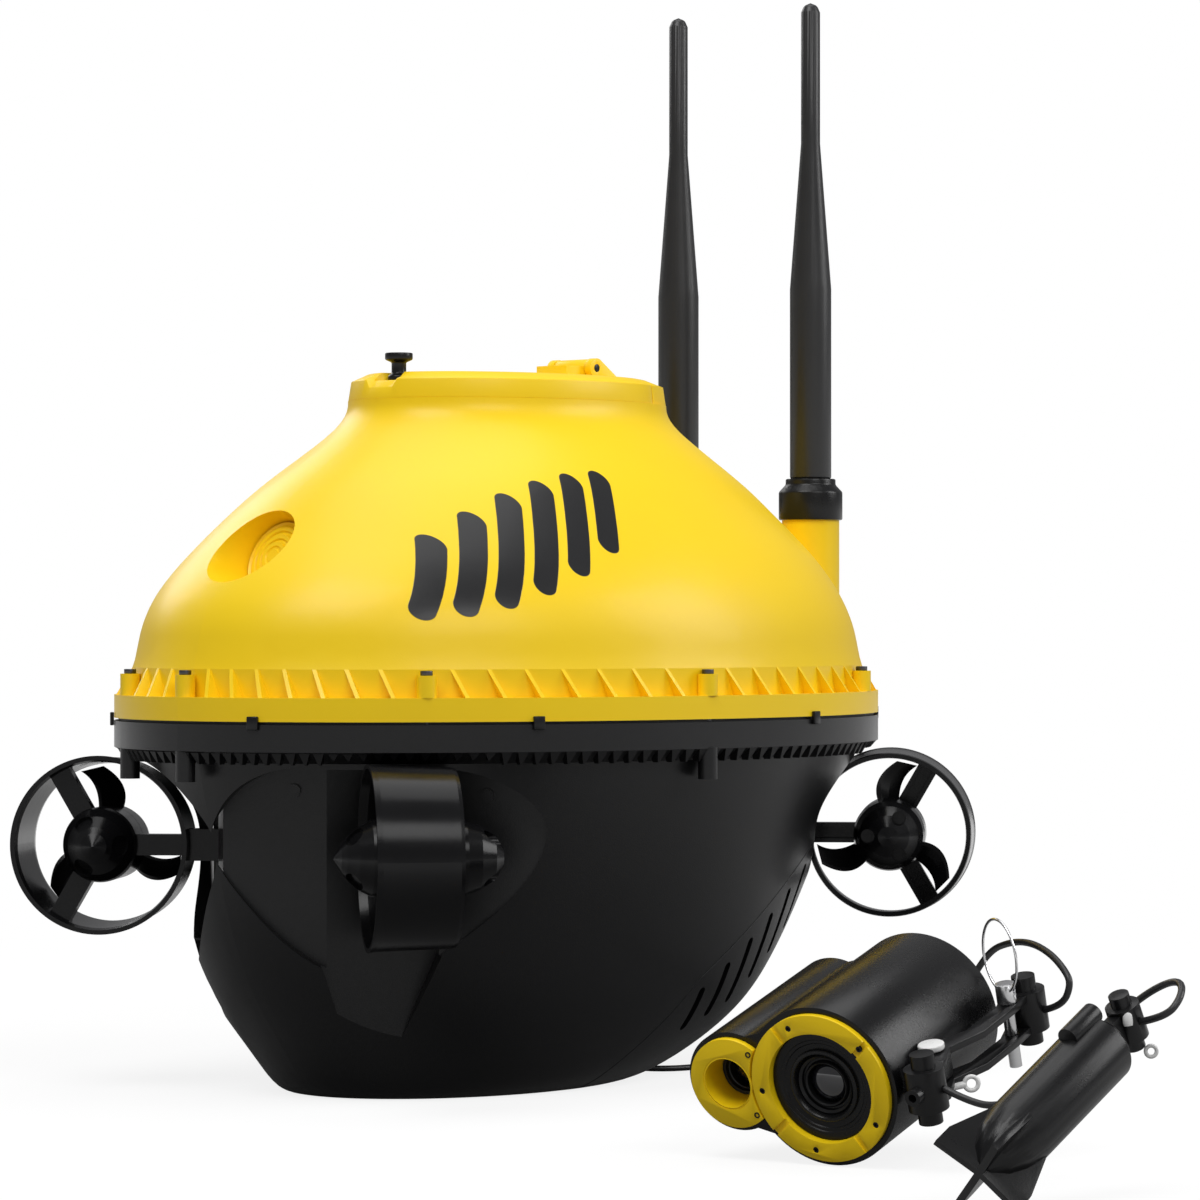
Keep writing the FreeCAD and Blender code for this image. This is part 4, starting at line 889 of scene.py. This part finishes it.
    def joined(self, name: str, pieces: Sequence[Piece]) -> Piece:
        """Join pieces into one."""
        deselect()
        for piece in pieces:
            piece.select_set(True)
        bpy.context.view_layer.objects.active = pieces[0]
        bpy.ops.object.join()
        whole = bpy.context.active_object
        whole.name = name
        return whole

    def copies(self, piece: Piece, frames: Sequence[Matrix], name: str) -> Piece:
        """One piece modelled once and set at many frames.

        Args:
            piece: the piece at its own origin.
            frames: where each copy goes.
            name: the joined piece's name.

        Returns:
            All the copies as one piece.
        """
        made = []
        for index, frame in enumerate(frames):
            item = bpy.data.objects.new("%s_%d" % (name, index), piece.data.copy())
            bpy.context.collection.objects.link(item)
            item.data.transform(frame)
            made.append(item)
        bpy.data.objects.remove(piece)
        return self.joined(name, made)


# Outlines of the turned pieces, as (radius, height)

SCOOP_DISC: Outline = (
    (0.0, 0.0044), (0.0022, 0.0044), (0.0026, 0.0038), (0.0034, 0.0038), (0.0038, 0.0043), (0.0052, 0.0043),
    (0.0056, 0.0032), (0.0064, 0.0029), (0.0069, 0.0035), (0.0083, 0.0035), (0.0088, 0.0026), (0.0096, 0.0023),
    (0.0101, 0.0029), (0.0112, 0.0029), (0.0118, 0.0019), (0.0126, 0.0017), (0.0134, 0.0023), (0.0134, 0.0),
    (0.0, 0.0),
)
WINDOW_DISC: Outline = (
    (0.0176, -0.0026), (0.0176, -0.0007), (0.0172, -0.0004), (0.015, -0.0004), (0.0147, -0.0007),
    (0.0138, -0.0007), (0.0135, -0.001), (0.0118, -0.0012), (0.0115, -0.0004), (0.011, -0.0001),
    (0.0104, -0.0001), (0.01, -0.0006), (0.0096, -0.0024), (0.0096, -0.005), (0.0176, -0.005),
    (0.0176, -0.0026),
)
LENS_BARREL: Outline = (
    (0.0096, -0.005), (0.0096, -0.002), (0.0092, -0.0016), (0.0084, -0.0022), (0.0082, -0.003),
    (0.0076, -0.003), (0.0074, -0.0022), (0.007, -0.0018), (0.0065, -0.0022), (0.0064, -0.0032),
    (0.0062, -0.009), (0.0096, -0.009), (0.0096, -0.005),
)
FRONT_LENS: Outline = (
    (0.0, -0.0018), (0.0012, -0.00185), (0.0026, -0.0021), (0.004, -0.0026), (0.0052, -0.0033), (0.006, -0.004),
    (0.0064, -0.0048), (0.0064, -0.008), (0.0, -0.008),
)
LIGHT_WELL: Outline = (
    (0.0086, -0.0138), (0.0086, 0.0018), (0.008, 0.002), (0.0076, -0.0136), (0.0086, -0.0138),
)
LAMP_RING: Outline = (
    (0.0076, -0.0138), (0.0076, -0.0084), (0.0073, -0.008), (0.0064, -0.0082), (0.006, -0.0092),
    (0.0056, -0.0094), (0.0054, -0.0104), (0.005, -0.0138), (0.0076, -0.0138),
)
LAMP_LENS: Outline = (
    (0.0, -0.0092), (0.0016, -0.0094), (0.0032, -0.0099), (0.0044, -0.0106), (0.005, -0.0114), (0.005, -0.0136),
    (0.0, -0.0136),
)
BRACKET_STEM: Outline = ((0.0, 0.0), (0.0011, 0.0), (0.0011, 0.0042), (0.0008, 0.0048), (0.0, 0.0048))
SINKER_CAP: Outline = (
    (0.0, 0.0), (0.0013, 0.0), (0.0015, 0.0008), (0.0015, 0.003), (0.0011, 0.004), (0.0, 0.0043),
)


# Sub-assemblies


@dataclass
class Hull:
    """The two shells, the flange between them, and the deck.

    The lid's values say where its foot, the top of its wall and its top lie, how far the foot and the wall
    grow, how far the wall is lifted, and inside which share of its outline nothing moves.
    """

    teeth: int = 158
    tooth_wide: float = 0.0039
    tooth_tall: float = 0.0043
    tooth_deep: float = 0.0050
    tooth_top: float = 0.12125
    tooth_share: float = 0.978
    tooth_point: Point = (0.55, 0.16, 1.0)
    short_share: float = 0.6
    thruster_at: tuple[float, float] = (0.125, 0.0764)
    thruster_room: float = 0.030
    lid_mid: float = -0.001
    lid_half: tuple[float, float] = (0.061, 0.043)
    lid_foot: float = 0.2436
    lid_edge: float = 0.2475
    lid_top: float = 0.253
    lid_grow: tuple[float, float] = (1.095, 1.075)
    lid_lift: float = 0.0029
    lid_still: float = 0.86
    lid_blend: float = 0.04
    lid_slack: float = 0.0001
    split_blend: float = 0.012
    notch: tuple[float, float] = (0.045, 0.0063)
    hinge_x: float = -0.036
    scoop_seat: Point = (0.112, 0.0, 0.186)
    scoop_axis: Point = (0.92, 0.0, 0.39)

    def build(self, bench: Bench) -> None:
        """Dress the shells and model the small ribs under the band."""
        bench.paint("upper_shell", "yellow")
        for node in ("rear_deck", "hatch_lid"):
            self._flush(bench.dress(node, "yellow_plain", edge=0.0006))
        self._scoop_disc(bench)
        bench.paint("lower_hull", "seamed_black")
        bench.paint("stern_cover", "seamed_black")
        bench.paint("flange_gasket", "seal")
        bench.dress("seam_clips", "fitting_black", edge=0.0003)
        bench.dress("flange_screws", "dark_steel", edge=0.0002)
        bench.dress("hatch_hinge_pin", "fitting_black", edge=0.0003)
        bench.dress("latch_pin", "fitting_black", edge=0.0004)
        self._teeth(bench)
        log.info("hull dressed")

    def _flush(self, piece: Piece) -> None:
        """Bring the hatch's rim out to the shell's wall, so that the two meet as in the photograph.

        Args:
            piece: the lid or the deck behind it, with its bevels applied.
        """
        foot_grow, wall_grow = self.lid_grow
        notch_x, notch_y = self.notch
        for vertex in piece.data.vertices:
            x, y, z = vertex.co
            reach = math.hypot((x - self.lid_mid) / self.lid_half[0], y / self.lid_half[1])
            if reach < self.lid_still or z > self.lid_top + self.lid_slack:
                continue
            wall = min(max((z - self.lid_foot) / (self.lid_edge - self.lid_foot), 0.0), 1.0)
            slope = min(max((z - self.lid_edge) / (self.lid_top - self.lid_edge), 0.0), 1.0)
            share = foot_grow + (wall_grow - foot_grow) * wall - 1.0
            share *= min((reach - self.lid_still) / self.lid_blend, 1.0)
            by_split = min(abs(x - self.hinge_x) / self.split_blend, 1.0)
            vertex.co.x = self.lid_mid + (x - self.lid_mid) * (1.0 + share * by_split)
            vertex.co.y = y * (1.0 + share)
            if not (x > notch_x and abs(y) < notch_y):
                vertex.co.z = z + self.lid_lift * wall * (1.0 - slope)
        piece.data.update()

    def _scoop_disc(self, bench: Bench) -> None:
        """The ringed disc at the bottom of the bow scoop."""
        frame = turn_to(Vector(self.scoop_seat), Vector((0.0, 1.0, 0.0)), Vector(self.scoop_axis))
        disc = bench.lathe("scoop_disc", SCOOP_DISC, frame, 72)
        slot = bench.slot_of["bow_scoop_disc"]
        bench.settle(disc, "yellow_plain", "hull", slot, ("bow_scoop_disc",), 24.0)

    def _tooth(self, tall: float) -> Piece:
        """One pointed rib that hangs from its own origin.

        Args:
            tall: its height in metres.

        Returns:
            The rib.
        """
        deselect()
        bpy.ops.mesh.primitive_cube_add(size=1.0, location=(0.0, 0.0, -tall / 2))
        rib = bpy.context.active_object
        rib.scale = (self.tooth_deep, self.tooth_wide, tall)
        bpy.ops.object.transform_apply(location=True, rotation=True, scale=True)
        edit("DESELECT")
        leave_edit()
        for vertex in rib.data.vertices:
            vertex.select = vertex.co.z < -tall / 2
        bpy.ops.object.mode_set(mode="EDIT")
        bpy.ops.transform.resize(value=self.tooth_point, center_override=(-self.tooth_deep / 2, 0.0, -tall))
        leave_edit()
        return rib

    def _teeth(self, bench: Bench) -> None:
        """The row of pointed ribs under the black band, lower where a duct passes."""
        tall, short = [], []
        near_x, near_y = self.thruster_at
        for number in range(self.teeth):
            turn = 2.0 * math.pi * (number + 0.5) / self.teeth
            along, aside = math.cos(turn), math.sin(turn)
            across = Vector((along / HALF_LENGTH, aside / HALF_WIDTH, 0.0)).normalized()
            spot = Vector((HALF_LENGTH * self.tooth_share * along,
                           HALF_WIDTH * self.tooth_share * aside, self.tooth_top))
            frame = turn_to(spot, across, UP)
            by_duct = math.hypot(abs(spot.x) - near_x, abs(spot.y) - near_y) < self.thruster_room
            (short if by_duct else tall).append(frame)
        rows = [bench.copies(self._tooth(self.tooth_tall), tall, "tall_ribs"),
                bench.copies(self._tooth(self.tooth_tall * self.short_share), short, "short_ribs")]
        ribs = bench.joined("flange_ribs", rows)
        bench.settle(ribs, "hull_black", "hull", "black_hull")


@dataclass
class Antennas:
    """The two whips on their collars."""

    def build(self, bench: Bench) -> None:
        """Dress both sides."""
        for side in Side:
            hand = side.name.lower()
            bench.dress("antenna_" + hand, "sleeve", edge=0.0008, segments=3)
            bench.dress("antenna_collar_" + hand, "fitting_black", edge=0.0005)
        log.info("antennas dressed")


@dataclass
class Thruster:
    """One ducted thruster."""

    end: End
    side: Side

    @property
    def name(self) -> str:
        """The thruster's node prefix."""
        return "thruster_%s_%s" % (self.end.name.lower(), self.side.name.lower())

    def build(self, bench: Bench) -> None:
        """Paint its duct, nose, propeller and inner pieces."""
        for piece in ("duct", "nose", "propeller"):
            bench.paint("%s_%s" % (self.name, piece), "gloss_black")
        bench.paint(self.name + "_motor", "steel")
        bench.paint(self.name + "_shaft", "bright")
        log.info("%s dressed", self.name)


@dataclass
class CameraUnit:
    """The tethered camera with its light, bracket and pins.

    A screw's size is its radius and depth. The bezel's seats are given as radius, first angle in degrees and
    height, the light plate's as distance from the lens, distance to either side, and height.
    """

    at: Point = (0.1392, 0.2675, 0.024457)
    axis: Point = (0.944, 0.172, -0.283)
    well_at: float = 0.0325
    loop_foot: Point = (0.0795, 0.2907, 0.0508)
    loop_lean: tuple[float, float] = (0.156, 0.988)
    loop_side: Point = (0.407, 0.914, 0.0)
    eye_foot: Point = (0.1073, 0.2994, 0.0232)
    stem_foot: Point = (0.1118, 0.2948, 0.0240)
    stem_way: Point = (-0.68, 0.70, 0.22)
    screw_size: tuple[float, float] = (0.00095, 0.0012)
    screw_rim: float = 0.0004
    screw_well: float = 0.0005
    bezel_screws: int = 5
    bezel_seat: Point = (0.0206, 5.0, 0.0012)
    plate_seat: Point = (0.0236, 0.0098, 0.0016)

    def __post_init__(self) -> None:
        """Work out the unit's own frame."""
        axis = Vector(self.axis).normalized()
        self.frame = turn_to(Vector(self.at), Vector((axis.y, -axis.x, 0.0)), axis)

    def moved(self, x: float, y: float, z: float = 0.0) -> Matrix:
        """The unit's frame moved along its own axes."""
        return self.frame @ Matrix.Translation((x, y, z))

    def build(self, bench: Bench) -> None:
        """Dress the housing and model the glass, the light well and the screws."""
        bench.dress("camera_housing", "camera_black", edge=0.0007, segments=3)
        for node in ("camera_bezel", "light_bezel"):
            bench.dress(node, "camera_yellow", edge=0.00025)
        bench.paint("camera_carrier", "inner")
        self._front_glass(bench)
        self._light(bench)
        self._screws(bench)
        for node in ("front_line_block", "rear_tether_block"):
            bench.dress(node, "fitting_black", edge=0.0005, segments=3)
        bench.dress("camera_bracket", "fitting_black", edge=0.0004)
        bench.dress("button_pin", "satin_white", edge=0.0005, segments=3)
        bench.dress("release_pin", "bright", edge=0.0003)
        self._rings(bench)
        log.info("camera unit dressed")

    def _front_glass(self, bench: Bench) -> None:
        """The dark disc with its stepped rings, the lens barrel and its glass."""
        disc = bench.lathe("window_disc", WINDOW_DISC, self.frame, 96)
        bench.settle(disc, "camera_black", "hull", "clear_glass", ("camera_window",))
        barrel = bench.lathe("lens_barrel", LENS_BARREL, self.frame, 96)
        bench.settle(barrel, "fitting_black", "hull", "lens_glass", ("camera_lens",))
        glass = bench.lathe("front_lens", FRONT_LENS, self.frame, 96)
        bench.settle(glass, "lens", "hull", "lens_glass")

    def _light(self, bench: Bench) -> None:
        """The yellow well beside the lens and the lamp at its bottom."""
        spot = self.moved(self.well_at, 0.0)
        well = bench.lathe("light_well", LIGHT_WELL, spot)
        bench.settle(well, "camera_yellow", "hull", "camera_yellow")
        ring = bench.lathe("lamp_ring", LAMP_RING, spot)
        bench.settle(ring, "fitting_black", "hull", "lens_glass", ("light_lens",))
        lamp = bench.lathe("lamp_lens", LAMP_LENS, spot)
        bench.settle(lamp, "lens", "hull", "lens_glass")

    def _rings(self, bench: Bench) -> None:
        """The thin wire loop on the release pin and the small ring at the bracket's lower arm."""
        aside, upward = self.loop_lean
        up = UP * upward - RIGHTWARD * aside
        loop = bench.hoop("wire_loop", self.loop_foot, up, Vector(self.loop_side), 0.0106, 0.00042, 1.08)
        bench.settle(loop, "bright", "release", bench.slot_of["pull_ring"], ("pull_ring",), 60.0)
        eye = bench.hoop("bracket_eye", self.eye_foot, UP, RIGHTWARD, 0.0021, 0.0007)
        place = turn_to(Vector(self.stem_foot), UP, Vector(self.stem_way))
        stem = bench.lathe("bracket_stem", BRACKET_STEM, place, 24)
        bench.settle(bench.joined("bracket_ring", [eye, stem]), "satin_white", "hull", "bright_steel", (), 50.0)

    def _screws(self, bench: Bench) -> None:
        """Small dark screws in the bezel's and the light plate's holes."""
        deselect()
        radius, depth = self.screw_size
        bpy.ops.mesh.primitive_cylinder_add(vertices=24, radius=radius, depth=depth)
        screw = bpy.context.active_object
        edit("DESELECT")
        leave_edit()
        for face in screw.data.polygons:
            face.select = face.normal.z > 0.9
        bpy.ops.object.mode_set(mode="EDIT")
        bpy.ops.mesh.select_mode(type="FACE")
        bpy.ops.mesh.inset(thickness=self.screw_rim, depth=0.0)
        bpy.ops.mesh.extrude_region_move(TRANSFORM_OT_translate={"value": (0.0, 0.0, -self.screw_well)})
        bpy.ops.mesh.select_mode(type="VERT")
        leave_edit()
        seats = []
        reach, first, height = self.bezel_seat
        for number in range(self.bezel_screws):
            turn = math.radians(first + 360.0 * number / self.bezel_screws)
            seats.append(self.moved(reach * math.cos(turn), reach * math.sin(turn), height))
        out, aside, height = self.plate_seat
        for hand in (1, -1):
            seats.append(self.moved(out, hand * aside, height))
        screws = bench.copies(screw, seats, "bezel_screws")
        bench.settle(screws, "fitting_black", "hull", "camera_black")


@dataclass
class Sinker:
    """The finned sinker with its line block."""

    eye_foot: Point = (0.1160, 0.3730, 0.0386)
    cap_foot: Point = (0.1262, 0.3724, 0.0482)
    cap_way: Point = (0.1, -0.1, 1.0)

    def build(self, bench: Bench) -> None:
        """Dress both pieces and add the eye and the cap of the block's pin."""
        bench.dress("sinker_weight", "fitting_black", edge=0.0006, segments=3)
        bench.dress("sinker_line_block", "fitting_black", edge=0.0004)
        eye = bench.hoop("sinker_eye", self.eye_foot, UP, RIGHTWARD, 0.0016, 0.0006)
        place = turn_to(Vector(self.cap_foot), TOWARD_CAMERA, Vector(self.cap_way))
        cap = bench.lathe("sinker_cap", SINKER_CAP, place, 24)
        bench.settle(bench.joined("sinker_pins", [eye, cap]), "satin_white", "hull", "bright_steel", (), 50.0)
        log.info("sinker dressed")


@dataclass
class Inside:
    """What the shells enclose."""

    def build(self, bench: Bench) -> None:
        """Dress the frame, the winch, the battery and the board."""
        for node in ("chassis_frame", "winch_drum"):
            bench.dress(node, "inner", edge=0.0005)
        bench.dress("tether_winding", "jacket", angle=30.0)
        bench.dress("winch_motor", "steel", edge=0.0006)
        bench.dress("battery_pack", "wrap", edge=0.003, segments=4)
        bench.dress("control_board", "board", edge=0.0002)
        bench.dress("tether_gland", "seal", edge=0.0003)
        log.info("inside dressed")


# Routes of the cords

TETHER_ROUTE: tuple[Point, ...] = (
    (-0.037, 0.0218, 0.0023), (-0.0423, 0.0251, 0.0021), (-0.05, 0.029, 0.0015), (-0.06, 0.0315, 0.0012),
    (-0.074, 0.032, 0.0012), (-0.088, 0.038, 0.0012), (-0.096, 0.054, 0.0012), (-0.095, 0.075, 0.0012),
    (-0.084, 0.098, 0.0012), (-0.066, 0.119, 0.0012), (-0.044, 0.138, 0.0014), (-0.023, 0.16, 0.0035),
    (-0.005, 0.184, 0.012), (0.01, 0.207, 0.026), (0.022, 0.228, 0.043), (0.033, 0.247, 0.059),
    (0.044, 0.265, 0.0635), (0.054, 0.281, 0.0645), (0.061, 0.294, 0.062), (0.0655, 0.303, 0.0575),
    (0.067, 0.3065, 0.0535), (0.066, 0.3025, 0.0465), (0.0642, 0.2942, 0.0448),
)
LINE_ROUTE: tuple[Point, ...] = (
    (0.1283, 0.3059, 0.0256), (0.1276, 0.3125, 0.023), (0.1265, 0.323, 0.021), (0.1235, 0.334, 0.0255),
    (0.119, 0.344, 0.0345), (0.114, 0.354, 0.045), (0.1098, 0.3645, 0.055), (0.1085, 0.3735, 0.06),
    (0.112, 0.3812, 0.0605), (0.1185, 0.3855, 0.0565), (0.123, 0.3835, 0.0512), (0.122, 0.3737, 0.0492),
)


# The whole


def main() -> None:
    """Load the frame and build everything in order."""
    logging.basicConfig(level=logging.INFO, format="%(name)s: %(message)s")
    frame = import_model()
    record = frame["record"]
    bodies = {node: body for body, nodes in record["behaviour"]["bodies"].items() for node in nodes}
    slots = {item["node"]: item["material_slot"] for item in record["subparts"]}
    bench = Bench(frame["nodes"], bodies, slots)
    Studio().build()
    Cord("tether_cord", "tether", TETHER_ROUTE, 0.417).build(bench.paints)
    Cord("sinker_cord", "sinker_line", LINE_ROUTE, 0.120).build(bench.paints)
    Hull().build(bench)
    Antennas().build(bench)
    for end in End:
        for side in Side:
            Thruster(end, side).build(bench)
    CameraUnit().build(bench)
    Sinker().build(bench)
    Inside().build(bench)


if __name__ == "__main__":
    main()
